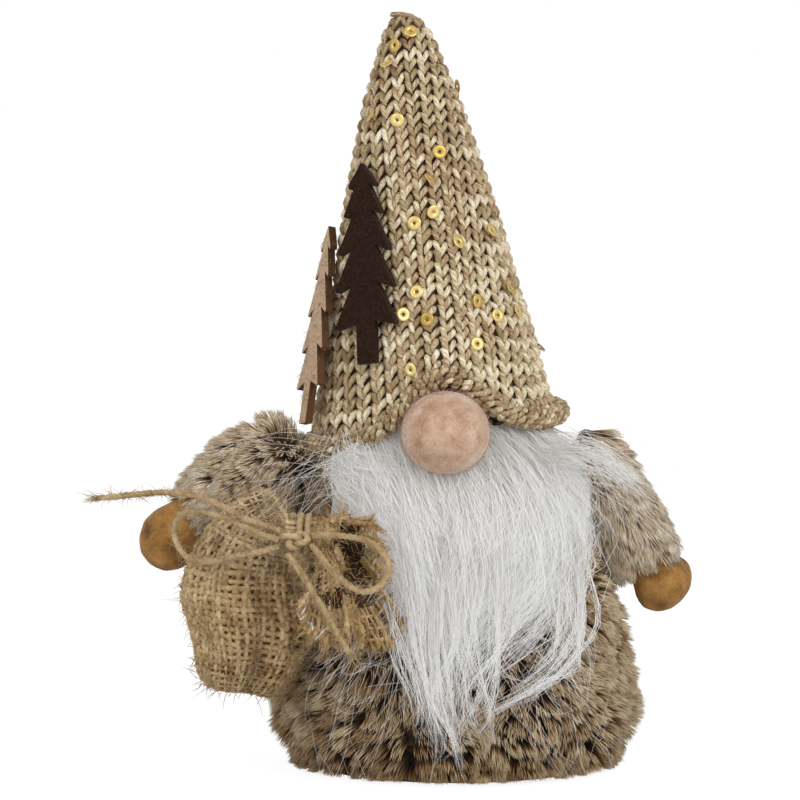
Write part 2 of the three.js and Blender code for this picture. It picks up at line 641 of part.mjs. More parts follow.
const freeArm = sleevePieces("free_arm", freeShoulder, freeWay,
  FREE_SLEEVE_LENGTH, FREE_SLEEVE_WIDTH, FREE_SLEEVE_FORM);

// A mitt: its wrist sits in the cuff, and it swells and bends down to a rounded tip
function addMitt(name, sleeve, along, length, droop) {
  const side = Math.sign(along.x);
  const onAxis = (distance) => sleeve.mouth.clone().addScaledVector(along, distance);
  const hang = new THREE.Vector3(side * Math.cos(radians(droop)), 0, -Math.sin(radians(droop)));
  const curve = new THREE.CatmullRomCurve3([
    onAxis(-WRIST_DEPTH), onAxis(-WRIST_DEPTH / 2), onAxis(MITT_NECK),
    onAxis(2 * MITT_NECK).addScaledVector(hang, length * 0.4),
    onAxis(2 * MITT_NECK).addScaledVector(hang, length),
  ]);
  const full = MITT_WIDTH / 2;
  const wristHalf = Math.min(sleeve.cuff.half, sleeve.cuff.deep) - 2 * CLEARANCE;
  addPiece(name, limb(curve, [
    { at: 0, half: 0 },
    { at: 0, half: wristHalf, deep: wristHalf },
    { at: (WRIST_DEPTH + MITT_NECK) / curve.getLength(), half: wristHalf, deep: wristHalf },
    { at: 0.52, half: full * 0.93, deep: full * 0.82 },
    { at: 0.68, half: full, deep: full * 0.86 },
    { at: 0.85, half: full * 0.8, deep: full * 0.7 },
    { at: 0.955, half: full * 0.48, deep: full * 0.42 },
    { at: 1, half: 0 },
  ]), 0xb8862f, 0.85);
}

addMitt("sack_mitt", sackArm, sackWay, MITT_LENGTH, MITT_DROOP);
addMitt("free_mitt", freeArm, freeWay, FREE_MITT_LENGTH, FREE_MITT_DROOP);

// Sack: a burlap bag gathered at the neck. Each section is an oval across two points of its front
// outline. The points are shares of the bag's width and height, counted from the neck's end, with
// shares of its thickness for the section and for how far it hangs back.
const BAG_FORM = [
  { top: [-0.17, 0.2], low: [-0.04, -0.086], thick: 0.46, back: 0.43 },
  { top: [-0.39, 0.13], low: [-0.02, -0.11], thick: 0.66, back: 0.64 },
  { top: [-0.65, -0.005], low: [0.07, -0.14], thick: 0.88, back: 0.76 },
  { top: [-0.82, -0.18], low: [0.12, -0.23], thick: 1, back: 0.786 },
  { top: [-0.85, -0.33], low: [0.15, -0.36], thick: 1, back: 0.732 },
  { top: [-0.79, -0.47], low: [0.17, -0.52], thick: 0.95, back: 0.661 },
  { top: [-0.71, -0.61], low: [0.03, -0.68], thick: 0.72, back: 0.607 },
  { top: [-0.67, -0.72], low: [-0.18, -0.78], thick: 0.36, back: 0.571 },
];
const BAG_BOTTOM = { place: [-0.42, -0.8], back: 0.554 };
const FRILL_FORM = [
  { top: [0.08, 0.12], low: [0.03, -0.18], thick: 0.64, back: -0.107, fold: 0 },
  { top: [0.28, 0.04], low: [0.02, -0.385], thick: 0.86, back: -0.25, fold: 0.3 },
  { top: [0.515, -0.165], low: [0.02, -0.62], thick: 1, back: -0.393, fold: 0.7 },
  { top: [0.7, -0.45], low: [0.05, -0.84], thick: 1, back: -0.429, fold: 1 },
  { top: [0.75, -0.67], low: [0.17, -0.95], thick: 0.86, back: -0.429, fold: 1 },
];
const SACK_SIDES = 20;
const frillRest = bodyPoint(radians(FRILL_TURN), FRILL_REST_HEIGHT, pileFace + BEARD_PILE).y;
const neck = new THREE.Vector3(
  sackShoulder.x + SACK_ASIDE,
  frillRest - FRILL_DEPTH * ((1 + FRILL_FOLD) / 2 + FRILL_FORM[2].back) - CLEARANCE,
  sackShoulder.z - SACK_HANG,
);

function sackSection(end, width, height, depth, { top, low, thick, back, fold = 0 }, shrink) {
  const corner = ([x, z]) =>
    new THREE.Vector3(end.x + x * width, end.y + back * depth, end.z + z * height);
  const high = corner(top);
  const bottom = corner(low);
  const centre = high.clone().add(bottom).divideScalar(2);
  const across = high.sub(bottom).divideScalar(2);
  const half = across.length() - shrink;
  across.normalize();
  return ringAt(SACK_SIDES, (turn) => {
    const wave = 1 + FRILL_FOLD * fold * Math.cos(FRILL_FOLDS * turn);
    return centre.clone().addScaledVector(across, half * wave * Math.cos(turn))
      .add(new THREE.Vector3(0, (depth / 2 * thick - shrink) * wave * Math.sin(turn), 0));
  });
}

function neckSection(end, shrink) {
  const radius = NECK_DIAMETER / 2 - shrink;
  return ringAt(SACK_SIDES, (turn) => end.clone().add(
    new THREE.Vector3(0, radius * Math.sin(turn), radius * Math.cos(turn))));
}

const bagEnd = neck.clone().add(new THREE.Vector3(-NECK_LENGTH / 2, 0, 0));
const frillEnd = neck.clone().add(new THREE.Vector3(NECK_LENGTH / 2, 0, 0));
const bagBottom = (rise) => [new THREE.Vector3(bagEnd.x + BAG_BOTTOM.place[0] * SACK_WIDTH,
  bagEnd.y + BAG_BOTTOM.back * SACK_THICKNESS, bagEnd.z + BAG_BOTTOM.place[1] * SACK_TALL + rise)];
const bagRing = (form, shrink) =>
  sackSection(bagEnd, SACK_WIDTH, SACK_TALL, SACK_THICKNESS, form, shrink);
const frillRing = (form, shrink) =>
  sackSection(frillEnd, FRILL_LENGTH, FRILL_LENGTH, FRILL_DEPTH, form, shrink);
const bagUp = BAG_FORM.toReversed();

// The cloth is gathered through the tie: the bag lies on one side of it, the frill on the other
const bagMouth = neck.clone().add(new THREE.Vector3(-CLEARANCE / 2, 0, 0));
const frillRoot = neck.clone().add(new THREE.Vector3(CLEARANCE / 2, 0, 0));
addPiece("sack_cloth", skin([
  bagBottom(0),
  ...bagUp.map((form) => bagRing(form, 0)),
  neckSection(bagEnd, 0), neckSection(bagMouth, 0),
  neckSection(bagMouth, SACK_CLOTH), neckSection(bagEnd, SACK_CLOTH),
  ...BAG_FORM.map((form) => bagRing(form, SACK_CLOTH)),
  bagBottom(SACK_CLOTH),
]), 0xb4915f, 1);
addPiece("sack_frill", skin([
  neckSection(frillRoot, 0), neckSection(frillEnd, 0),
  ...FRILL_FORM.map((form) => frillRing(form, 0)),
  ...FRILL_FORM.toReversed().map((form) => frillRing(form, SACK_CLOTH)),
  neckSection(frillEnd, SACK_CLOTH), neckSection(frillRoot, SACK_CLOTH),
]), 0xb4915f, 1);
const sackStuffing = bagUp.slice(0, -1).map((form) => bagRing(form, SACK_CLOTH + STUFFING_GAP));
const stuffingEnd = sackStuffing[sackStuffing.length - 1];
addPiece("sack_stuffing", skin([
  bagBottom(SACK_CLOTH + 4 * CLEARANCE), ...sackStuffing,
  [stuffingEnd[0].clone().add(stuffingEnd[SACK_SIDES / 2]).divideScalar(2)],
]), 0xf2efe8, 1);

// The sack is glued to the front of the sleeve
const sackBlock = skin([
  bagBottom(-CLEARANCE), ...bagUp.map((form) => bagRing(form, -CLEARANCE)), [bagEnd],
]);
const dabBack = sackShoulder.y - shoulderRadius / 2;
const dabFront = bagEnd.y + BAG_FORM[1].back * SACK_THICKNESS;
const sackDab = new THREE.CylinderGeometry(SACK_GLUE_RADIUS, SACK_GLUE_RADIUS, dabBack - dabFront, 16);
sackDab.translate(bagEnd.x - SACK_GLUE_ASIDE, (dabFront + dabBack) / 2, bagEnd.z + SACK_GLUE_RISE);
addPiece("sack_glue", cut(sackDab, sackArm.block, sackBlock), 0xe8e2cf, 0.4);

// Twine: a round cord swept along a route of points
const TWINE_SIDES = 8;
const TWINE_STEP = 2.6 * TWINE;

function cord(points, sides = TWINE_SIDES, step = TWINE_STEP) {
  const route = new THREE.CatmullRomCurve3(points);
  const section = new THREE.Shape(ringAt(sides, (turn) =>
    new THREE.Vector2(TWINE / 2 * Math.cos(turn), TWINE / 2 * Math.sin(turn))));
  const steps = Math.max(6, Math.round(route.getLength() / step));
  return facingOut(new THREE.ExtrudeGeometry(section, { steps, extrudePath: route }));
}

// The tie winds round the neck, and the bow's knot sits in front of it
const tieRadius = NECK_DIAMETER / 2 + CLEARANCE + TWINE / 2;
const tiePoints = Array.from({ length: TIE_TURNS * TIE_POINTS + 1 }, (_, i) => {
  const turn = 2 * Math.PI * i / TIE_POINTS;
  const along = (TWINE + TIE_GAP) * (i / TIE_POINTS - TIE_TURNS / 2);
  return neck.clone().add(new THREE.Vector3(along, tieRadius * Math.sin(turn), tieRadius * Math.cos(turn)));
});
addPiece("neck_tie", cord(tiePoints, TIE_SIDES, tieRadius * 2 * Math.PI / TIE_POINTS), 0xc9ad78, 1);

const knot = neck.clone().add(new THREE.Vector3(
  -KNOT_WIDTH / 6, -(tieRadius + TWINE / 2 + CLEARANCE + KNOT_DEPTH / 2), -KNOT_TALL / 8));
const knotBall = new THREE.SphereGeometry(0.5, 14, 10);
knotBall.scale(KNOT_WIDTH, KNOT_DEPTH, KNOT_TALL).translate(knot.x, knot.y, knot.z);
addPiece("bow_knot", knotBall, 0xc9ad78, 1);

// Routes of the bow's loops and tails, from the middle of the knot
const LEFT_LOOP = [
  [-4.2, 0.3, -1.6], [-9, 2.5, -3.2], [-13.8, 7.5, -4.6], [-19, 12.5, -6.4], [-23.4, 16, -7.5],
  [-27.6, 19.5, -7.2], [-30.6, 22, -4.8], [-32, 23, -1], [-31.6, 22.5, 2], [-29.6, 20.5, 4.6],
  [-25.5, 16.5, 5.6], [-19.5, 11, 5], [-14, 6, 3.3], [-9, 1.5, 1.6], [-4.6, -1.4, 0.4],
];
const RIGHT_LOOP = [
  [4.2, -0.3, -1.2], [6.6, -2.5, -3.8], [9.2, -5, -7], [12.7, -7.5, -9.9], [16.4, -8.5, -12],
  [20, -8.5, -11.8], [22.8, -8.2, -9.4], [24, -8, -6.6], [23.4, -7.5, -3.9], [21.4, -6.8, -1.3],
  [18.2, -6, 0.6], [14.2, -5, 1.4], [9.6, -3.2, 1.7], [4.5, -0.4, 1.3],
];
const LONG_TAIL = [
  [-3.9, 0.8, 2.3], [-8, 2.2, 3.6], [-12.5, 5, 4.8], [-16.5, 8.5, 6.6], [-20.5, 12, 8.2],
  [-24, 15, 9.3], [-27.6, 17.5, 9.9], [-34.6, 20.5, 10.1], [-41, 22, 9.6], [-46.6, 22.9, 8.8],
  [-51.8, 23.3, 8.4],
];
const SHORT_TAIL = [
  [-1.9, -0.6, -3.4], [0.3, -2, -6.4], [2.6, -3.6, -9.6], [4.6, -5, -12.8], [6.8, -6.4, -16.2],
  [8.9, -7.4, -20], [11.4, -7.8, -24.2], [13.8, -7, -28.1],
];
const bow = {
  bow_loop_outer: LEFT_LOOP,
  bow_loop_inner: RIGHT_LOOP,
  bow_tail_long: LONG_TAIL,
  bow_tail_short: SHORT_TAIL,
};
for (const [name, offsets] of Object.entries(bow)) {
  const route = offsets.map((offset) => knot.clone().add(new THREE.Vector3(...offset)));
  addPiece(name, cord(route), 0xc9ad78, 1);
}

export default gnome;
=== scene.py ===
"""A gnome ornament dressed for a studio picture: long-pile fur, a knitted hat, a felt nose, a white
beard, suede mitts, cut felt trees and a burlap sack tied with jute twine.
Metres, +Z up, front towards -Y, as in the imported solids."""

import json
import math

import bpy
import numpy as np
from mathutils import Vector
from mathutils.kdtree import KDTree
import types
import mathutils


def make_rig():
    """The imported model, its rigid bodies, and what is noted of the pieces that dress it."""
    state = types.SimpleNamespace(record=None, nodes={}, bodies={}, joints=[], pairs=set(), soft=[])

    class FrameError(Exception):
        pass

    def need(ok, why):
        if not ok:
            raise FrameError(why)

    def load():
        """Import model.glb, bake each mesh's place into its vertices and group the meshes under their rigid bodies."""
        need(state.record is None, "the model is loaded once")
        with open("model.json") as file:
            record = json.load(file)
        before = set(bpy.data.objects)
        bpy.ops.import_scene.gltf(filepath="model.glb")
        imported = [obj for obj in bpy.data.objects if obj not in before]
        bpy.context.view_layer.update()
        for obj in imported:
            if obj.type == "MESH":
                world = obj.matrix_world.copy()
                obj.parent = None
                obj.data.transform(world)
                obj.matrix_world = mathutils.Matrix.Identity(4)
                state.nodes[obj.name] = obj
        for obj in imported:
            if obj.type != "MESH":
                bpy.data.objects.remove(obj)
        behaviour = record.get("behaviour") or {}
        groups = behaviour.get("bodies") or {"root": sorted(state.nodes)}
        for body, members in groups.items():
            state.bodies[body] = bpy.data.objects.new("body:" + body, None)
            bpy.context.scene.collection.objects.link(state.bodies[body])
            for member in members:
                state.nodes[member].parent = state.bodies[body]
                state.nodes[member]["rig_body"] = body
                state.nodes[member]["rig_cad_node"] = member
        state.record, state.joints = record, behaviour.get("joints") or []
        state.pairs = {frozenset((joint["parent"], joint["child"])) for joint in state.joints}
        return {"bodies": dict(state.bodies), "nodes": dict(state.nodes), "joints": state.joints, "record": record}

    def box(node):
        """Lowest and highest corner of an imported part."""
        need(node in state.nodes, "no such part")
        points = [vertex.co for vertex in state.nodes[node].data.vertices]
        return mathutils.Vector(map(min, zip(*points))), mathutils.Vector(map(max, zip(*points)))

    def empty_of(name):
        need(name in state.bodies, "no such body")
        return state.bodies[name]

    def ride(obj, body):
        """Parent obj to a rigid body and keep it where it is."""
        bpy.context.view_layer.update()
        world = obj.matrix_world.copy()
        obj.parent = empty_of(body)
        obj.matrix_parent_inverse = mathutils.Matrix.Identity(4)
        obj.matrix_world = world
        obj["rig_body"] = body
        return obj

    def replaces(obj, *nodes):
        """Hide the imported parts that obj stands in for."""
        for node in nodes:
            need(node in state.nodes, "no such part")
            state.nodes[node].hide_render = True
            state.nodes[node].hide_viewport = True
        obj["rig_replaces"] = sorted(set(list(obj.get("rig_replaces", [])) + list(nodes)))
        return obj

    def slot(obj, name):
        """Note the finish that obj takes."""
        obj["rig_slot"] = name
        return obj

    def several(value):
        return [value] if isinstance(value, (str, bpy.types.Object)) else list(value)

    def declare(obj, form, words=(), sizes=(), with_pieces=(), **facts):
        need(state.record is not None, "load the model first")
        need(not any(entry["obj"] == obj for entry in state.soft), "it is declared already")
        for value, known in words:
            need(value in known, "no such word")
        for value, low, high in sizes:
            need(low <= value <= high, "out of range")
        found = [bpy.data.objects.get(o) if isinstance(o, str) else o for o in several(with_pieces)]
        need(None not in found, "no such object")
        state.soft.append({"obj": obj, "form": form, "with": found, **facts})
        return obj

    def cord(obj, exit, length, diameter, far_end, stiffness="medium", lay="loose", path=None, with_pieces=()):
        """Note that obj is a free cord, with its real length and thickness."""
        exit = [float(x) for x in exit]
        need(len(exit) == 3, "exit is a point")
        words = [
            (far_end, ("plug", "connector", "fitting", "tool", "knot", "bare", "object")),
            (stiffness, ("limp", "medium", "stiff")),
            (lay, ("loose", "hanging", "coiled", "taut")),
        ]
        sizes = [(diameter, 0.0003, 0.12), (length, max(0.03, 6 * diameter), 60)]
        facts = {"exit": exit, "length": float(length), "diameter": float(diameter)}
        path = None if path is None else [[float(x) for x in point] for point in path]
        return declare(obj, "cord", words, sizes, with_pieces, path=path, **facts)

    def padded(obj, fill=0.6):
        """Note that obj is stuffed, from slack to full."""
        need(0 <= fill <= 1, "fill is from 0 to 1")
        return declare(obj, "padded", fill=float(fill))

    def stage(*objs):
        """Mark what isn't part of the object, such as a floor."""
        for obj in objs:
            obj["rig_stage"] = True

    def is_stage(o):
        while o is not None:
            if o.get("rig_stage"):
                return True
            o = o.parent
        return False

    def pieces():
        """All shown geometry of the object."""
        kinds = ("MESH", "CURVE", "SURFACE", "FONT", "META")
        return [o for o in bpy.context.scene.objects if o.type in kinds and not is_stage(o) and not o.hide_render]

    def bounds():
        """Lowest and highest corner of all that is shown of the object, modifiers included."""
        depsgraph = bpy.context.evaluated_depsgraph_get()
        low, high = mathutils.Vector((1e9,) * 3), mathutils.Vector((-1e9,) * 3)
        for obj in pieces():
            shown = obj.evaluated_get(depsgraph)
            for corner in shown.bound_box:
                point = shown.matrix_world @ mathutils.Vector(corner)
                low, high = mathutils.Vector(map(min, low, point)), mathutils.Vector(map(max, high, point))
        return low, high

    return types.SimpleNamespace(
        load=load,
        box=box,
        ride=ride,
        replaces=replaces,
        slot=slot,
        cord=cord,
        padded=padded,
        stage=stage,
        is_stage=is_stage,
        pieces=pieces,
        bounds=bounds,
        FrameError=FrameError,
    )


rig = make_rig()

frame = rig.load()
cad_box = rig.bounds()
scene = bpy.context.scene
scene.view_settings.view_transform = "Standard"

# Camera: a long lens almost level with the ornament, which stands a little right of the middle of
# the picture and is seen from slightly above.
SENSOR_WIDTH = 36
VIEW_WIDTH = 0.2098
VIEW_DISTANCE = 1.3
VIEW_ELEVATION = math.radians(5)
VIEW_AIM = Vector((-0.0146, -0.02, 0.0997))

camera_data = bpy.data.cameras.new("studio_camera")
camera_data.sensor_width = SENSOR_WIDTH
camera_data.lens = SENSOR_WIDTH * VIEW_DISTANCE / VIEW_WIDTH
camera = bpy.data.objects.new("studio_camera", camera_data)
towards = Vector((0, math.cos(VIEW_ELEVATION), -math.sin(VIEW_ELEVATION)))
camera.location = VIEW_AIM - VIEW_DISTANCE * towards
camera.rotation_euler = towards.to_track_quat("-Z", "Y").to_euler()
scene.collection.objects.link(camera)
scene.camera = camera

# Studio: two broad soft lamps and an even sky light, over a plain white floor and backdrop that
# keeps a faint shadow under the ornament.
LAMPS = {
    "key_lamp": {"at": (0.8, -1.1, 0.9), "size": 0.9, "power": 10.4},
    "fill_lamp": {"at": (-1.1, -0.8, 0.7), "size": 1.0, "power": 4.7},
}
for lamp_name, lamp in LAMPS.items():
    lamp_data = bpy.data.lights.new(lamp_name, "AREA")
    lamp_data.size = lamp["size"]
    lamp_data.energy = lamp["power"]
    lamp_object = bpy.data.objects.new(lamp_name, lamp_data)
    lamp_object.location = lamp["at"]
    aim = Vector((0, 0, 0.09)) - Vector(lamp["at"])
    lamp_object.rotation_euler = aim.to_track_quat("-Z", "Y").to_euler()
    scene.collection.objects.link(lamp_object)

world = bpy.data.worlds.new("studio_sky")
world.use_nodes = True
scene.world = world
sky = world.node_tree
sky.nodes.clear()
sky_output = sky.nodes.new("ShaderNodeOutputWorld")
sky_light = sky.nodes.new("ShaderNodeBackground")
sky_light.inputs["Color"].default_value = (1, 1, 1, 1)
sky_light.inputs["Strength"].default_value = 0.58
sky_seen = sky.nodes.new("ShaderNodeBackground")
sky_seen.inputs["Color"].default_value = (1, 1, 1, 1)
sky_seen.inputs["Strength"].default_value = 1.0
sky_ray = sky.nodes.new("ShaderNodeLightPath")
sky_mix = sky.nodes.new("ShaderNodeMixShader")
sky.links.new(sky_ray.outputs["Is Camera Ray"], sky_mix.inputs["Fac"])
sky.links.new(sky_light.outputs["Background"], sky_mix.inputs[1])
sky.links.new(sky_seen.outputs["Background"], sky_mix.inputs[2])
sky.links.new(sky_mix.outputs["Shader"], sky_output.inputs["Surface"])

FLOOR_HALF = 6.0
floor_mesh = bpy.data.meshes.new("studio_floor")
floor_mesh.from_pydata(
    [(-FLOOR_HALF, -FLOOR_HALF, 0), (FLOOR_HALF, -FLOOR_HALF, 0), (FLOOR_HALF, FLOOR_HALF, 0),
     (-FLOOR_HALF, FLOOR_HALF, 0)], [], [(0, 1, 2, 3)])
floor = bpy.data.objects.new("studio_floor", floor_mesh)
scene.collection.objects.link(floor)
floor_paint = bpy.data.materials.new("white_floor")
floor_paint.use_nodes = True
paint = floor_paint.node_tree
paint.nodes.clear()
paint_output = paint.nodes.new("ShaderNodeOutputMaterial")
paint_matte = paint.nodes.new("ShaderNodeBsdfDiffuse")
paint_matte.inputs["Color"].default_value = (0.86, 0.86, 0.86, 1)
paint_glow = paint.nodes.new("ShaderNodeEmission")
paint_glow.inputs["Strength"].default_value = 1.15
paint_ray = paint.nodes.new("ShaderNodeLightPath")
paint_share = paint.nodes.new("ShaderNodeMath")
paint_share.operation = "MULTIPLY"
paint_share.inputs[1].default_value = 0.8
paint_mix = paint.nodes.new("ShaderNodeMixShader")
paint.links.new(paint_ray.outputs["Is Camera Ray"], paint_share.inputs[0])
paint.links.new(paint_share.outputs["Value"], paint_mix.inputs["Fac"])
paint.links.new(paint_matte.outputs["BSDF"], paint_mix.inputs[1])
paint.links.new(paint_glow.outputs["Emission"], paint_mix.inputs[2])
paint.links.new(paint_mix.outputs["Shader"], paint_output.inputs["Surface"])
floor_mesh.materials.append(floor_paint)
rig.stage(floor)

# Bow: two loops and two tails of three-ply jute twine, with the knot that ties them and two turns
# round the neck of the sack. Each is twine of its real length, laid along the route of its solid.
TWINE = 0.0016
TWINE_TURN = 210.0
TWINE_STEP = 0.00045
TWINE_FUZZ = [(420, 0.0026, 1.0), (900, 0.0034, 0.4)]
FUZZ_ROOT = 0.00007
TAIL_FRAYS = 46
KNOT_SIZE = (0.008, 0.0048, 0.0056)
TIE_TURNS = 2
TIE_GAP = 0.0005
NECK_RADIUS = 0.0036
PIECE_GAP = 0.0003


def middle_of(node):
    """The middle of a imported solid's box."""
    low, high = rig.box(node)
    return (np.array(low) + np.array(high)) / 2


knot = middle_of("bow_knot")
tie_radius = NECK_RADIUS + PIECE_GAP + TWINE / 2
neck = knot + np.array([KNOT_SIZE[0] / 6, tie_radius + TWINE / 2 + PIECE_GAP + KNOT_SIZE[1] / 2,
                        KNOT_SIZE[2] / 8])

LEFT_LOOP = [
    (-4.2, 0.3, -1.6), (-9, 2.5, -3.2), (-13.8, 7.5, -4.6), (-19, 12.5, -6.4), (-23.4, 16, -7.5),
    (-27.6, 19.5, -7.2), (-30.6, 22, -4.8), (-32, 23, -1), (-31.6, 22.5, 2), (-29.6, 20.5, 4.6),
    (-25.5, 16.5, 5.6), (-19.5, 11, 5), (-14, 6, 3.3), (-9, 1.5, 1.6), (-4.6, -1.4, 0.4),
]
RIGHT_LOOP = [
    (4.2, -0.3, -1.2), (6.6, -2.5, -3.8), (9.2, -5, -7), (12.7, -7.5, -9.9), (16.4, -8.5, -12),
    (20, -8.5, -11.8), (22.8, -8.2, -9.4), (24, -8, -6.6), (23.4, -7.5, -3.9), (21.4, -6.8, -1.3),
    (18.2, -6, 0.6), (14.2, -5, 1.4), (9.6, -3.2, 1.7), (4.5, -0.4, 1.3),
]
LONG_TAIL = [
    (-3.9, 0.8, 2.3), (-8, 2.2, 3.6), (-12.5, 5, 4.8), (-16.5, 8.5, 6.6), (-20.5, 12, 8.2),
    (-24, 15, 9.3), (-27.6, 17.5, 9.9), (-34.6, 20.5, 10.1), (-41, 22, 9.6), (-46.6, 22.9, 8.8),
    (-51.8, 23.3, 8.4),
]
SHORT_TAIL = [
    (-1.9, -0.6, -3.4), (0.3, -2, -6.4), (2.6, -3.6, -9.6), (4.6, -5, -12.8), (6.8, -6.4, -16.2),
    (8.9, -7.4, -20), (11.4, -7.8, -24.2), (13.8, -7, -28.1),
]


def smooth_route(points, step):
    """Points a step apart on a smooth curve through the given ones."""
    points = np.asarray(points, float)
    padded = np.vstack([2 * points[0] - points[1], points, 2 * points[-1] - points[-2]])
    share = np.linspace(0, 1, 12, endpoint=False)[:, None]
    fine = []
    for before, here, after, beyond in zip(padded, padded[1:], padded[2:], padded[3:]):
        fine.append(0.5 * (2 * here + (after - before) * share
                           + (2 * before - 5 * here + 4 * after - beyond) * share ** 2
                           + (3 * here - before - 3 * after + beyond) * share ** 3))
    fine = np.vstack(fine + [points[-1:]])
    along = np.concatenate([[0], np.cumsum(np.linalg.norm(np.diff(fine, axis=0), axis=1))])
    stops = np.linspace(0, along[-1], max(3, int(round(along[-1] / step)) + 1))
    return np.column_stack([np.interp(stops, along, fine[:, k]) for k in range(3)])


def route_length(route):
    """Length along a row of points."""
    return float(np.linalg.norm(np.diff(route, axis=0), axis=1).sum())


def line_mesh(name, paths, thick, tone, closed=False):
    """A mesh of loose lines with what the sweeping nodes read: how thick each point is, the tone of
    its line and how far along it lies. paths is a list of rows of points."""
    counts = [len(path) for path in paths]
    starts = np.cumsum([0] + counts[:-1])
    edges = [np.column_stack([np.arange(s, s + n - 1), np.arange(s + 1, s + n)])
             for s, n in zip(starts, counts)]
    if closed:
        edges += [np.array([[s + n - 1, s]]) for s, n in zip(starts, counts)]
    edges = np.vstack(edges)
    points = np.vstack(paths)
    mesh = bpy.data.meshes.new(name)
    mesh.vertices.add(len(points))
    mesh.vertices.foreach_set("co", points.astype(np.float32).ravel())
    mesh.edges.add(len(edges))
    mesh.edges.foreach_set("vertices", edges.astype(np.int32).ravel())
    along = np.concatenate([np.linspace(0, 1, n) for n in counts])
    tones = np.repeat(np.asarray(tone, float), counts)
    for key, values in (("thick", np.concatenate(thick)), ("tone", tones), ("along", along)):
        layer = mesh.attributes.new(key, "FLOAT", "POINT")
        layer.data.foreach_set("value", values.astype(np.float32))
    mesh.update()
    return mesh


def node_tree(name, sockets):
    """An empty tree of geometry nodes with named inputs, and its input and output nodes."""
    tree = bpy.data.node_groups.new(name, "GeometryNodeTree")
    tree.interface.new_socket("Geometry", in_out="INPUT", socket_type="NodeSocketGeometry")
    for socket_name, kind in sockets:
        tree.interface.new_socket(socket_name, in_out="INPUT", socket_type=kind)
    tree.interface.new_socket("Geometry", in_out="OUTPUT", socket_type="NodeSocketGeometry")
    return tree, tree.nodes.new("NodeGroupInput"), tree.nodes.new("NodeGroupOutput")


def named_value(tree, key, kind="FLOAT"):
    """The output of a node that reads an attribute of the mesh."""
    node = tree.nodes.new("GeometryNodeInputNamedAttribute")
    node.data_type = kind
    node.inputs["Name"].default_value = key
    return node.outputs["Attribute"]


def sweeping_nodes():
    """Sweeps a section along every line of a mesh, as thick as its points say, with a twist in
    turns for each metre."""
    tree, source, result = node_tree("sweep_along_lines", [
        ("Section", "NodeSocketObject"), ("Twist", "NodeSocketFloat"),
        ("Finish", "NodeSocketMaterial")])
    link = tree.links.new
    curves = tree.nodes.new("GeometryNodeMeshToCurve")
    link(source.outputs["Geometry"], curves.inputs["Mesh"])
    place = tree.nodes.new("GeometryNodeSplineParameter")
    turn = tree.nodes.new("ShaderNodeMath")
    turn.operation = "MULTIPLY"
    link(place.outputs["Length"], turn.inputs[0])
    link(source.outputs["Twist"], turn.inputs[1])
    angle = tree.nodes.new("ShaderNodeMath")
    angle.operation = "MULTIPLY"
    angle.inputs[1].default_value = 2 * math.pi
    link(turn.outputs["Value"], angle.inputs[0])
    tilt = tree.nodes.new("GeometryNodeSetCurveTilt")
    link(curves.outputs["Curve"], tilt.inputs["Curve"])
    link(angle.outputs["Value"], tilt.inputs["Tilt"])
    section = tree.nodes.new("GeometryNodeObjectInfo")
    link(source.outputs["Section"], section.inputs["Object"])
    outline = tree.nodes.new("GeometryNodeMeshToCurve")
    link(section.outputs["Geometry"], outline.inputs["Mesh"])
    sweep = tree.nodes.new("GeometryNodeCurveToMesh")
    sweep.inputs["Fill Caps"].default_value = True
    link(outline.outputs["Curve"], sweep.inputs["Profile Curve"])
    link(tilt.outputs["Curve"], sweep.inputs["Curve"])
    link(named_value(tree, "thick"), sweep.inputs["Scale"])
    real = tree.nodes.new("GeometryNodeRealizeInstances")
    link(sweep.outputs["Mesh"], real.inputs["Geometry"])
    finish = tree.nodes.new("GeometryNodeSetMaterial")
    link(real.outputs["Geometry"], finish.inputs["Geometry"])
    link(source.outputs["Finish"], finish.inputs["Material"])
    link(finish.outputs["Geometry"], result.inputs["Geometry"])
    return tree


def hidden_shape(name, mesh):
    """An object that only lends its mesh to the nodes."""
    shape = bpy.data.objects.new(name, mesh)
    scene.collection.objects.link(shape)
    shape.hide_render = True
    return shape


def section_outline(name, sides, lobes=0, depth=0.0):
    """A closed outline of radius 1 for sweeping. Lobes are the plies that show on its outside."""
    angles = np.arange(sides) * 2 * np.pi / sides
    reach = np.ones(sides)
    if lobes:
        reach = 1 - depth * (1 - np.abs(np.cos(lobes / 2 * angles)))
    points = np.column_stack([reach * np.cos(angles), reach * np.sin(angles), np.zeros(sides)])
    mesh = bpy.data.meshes.new(name)
    mesh.from_pydata(points.tolist(), [(i, (i + 1) % sides) for i in range(sides)], [])
    return hidden_shape(name, mesh)


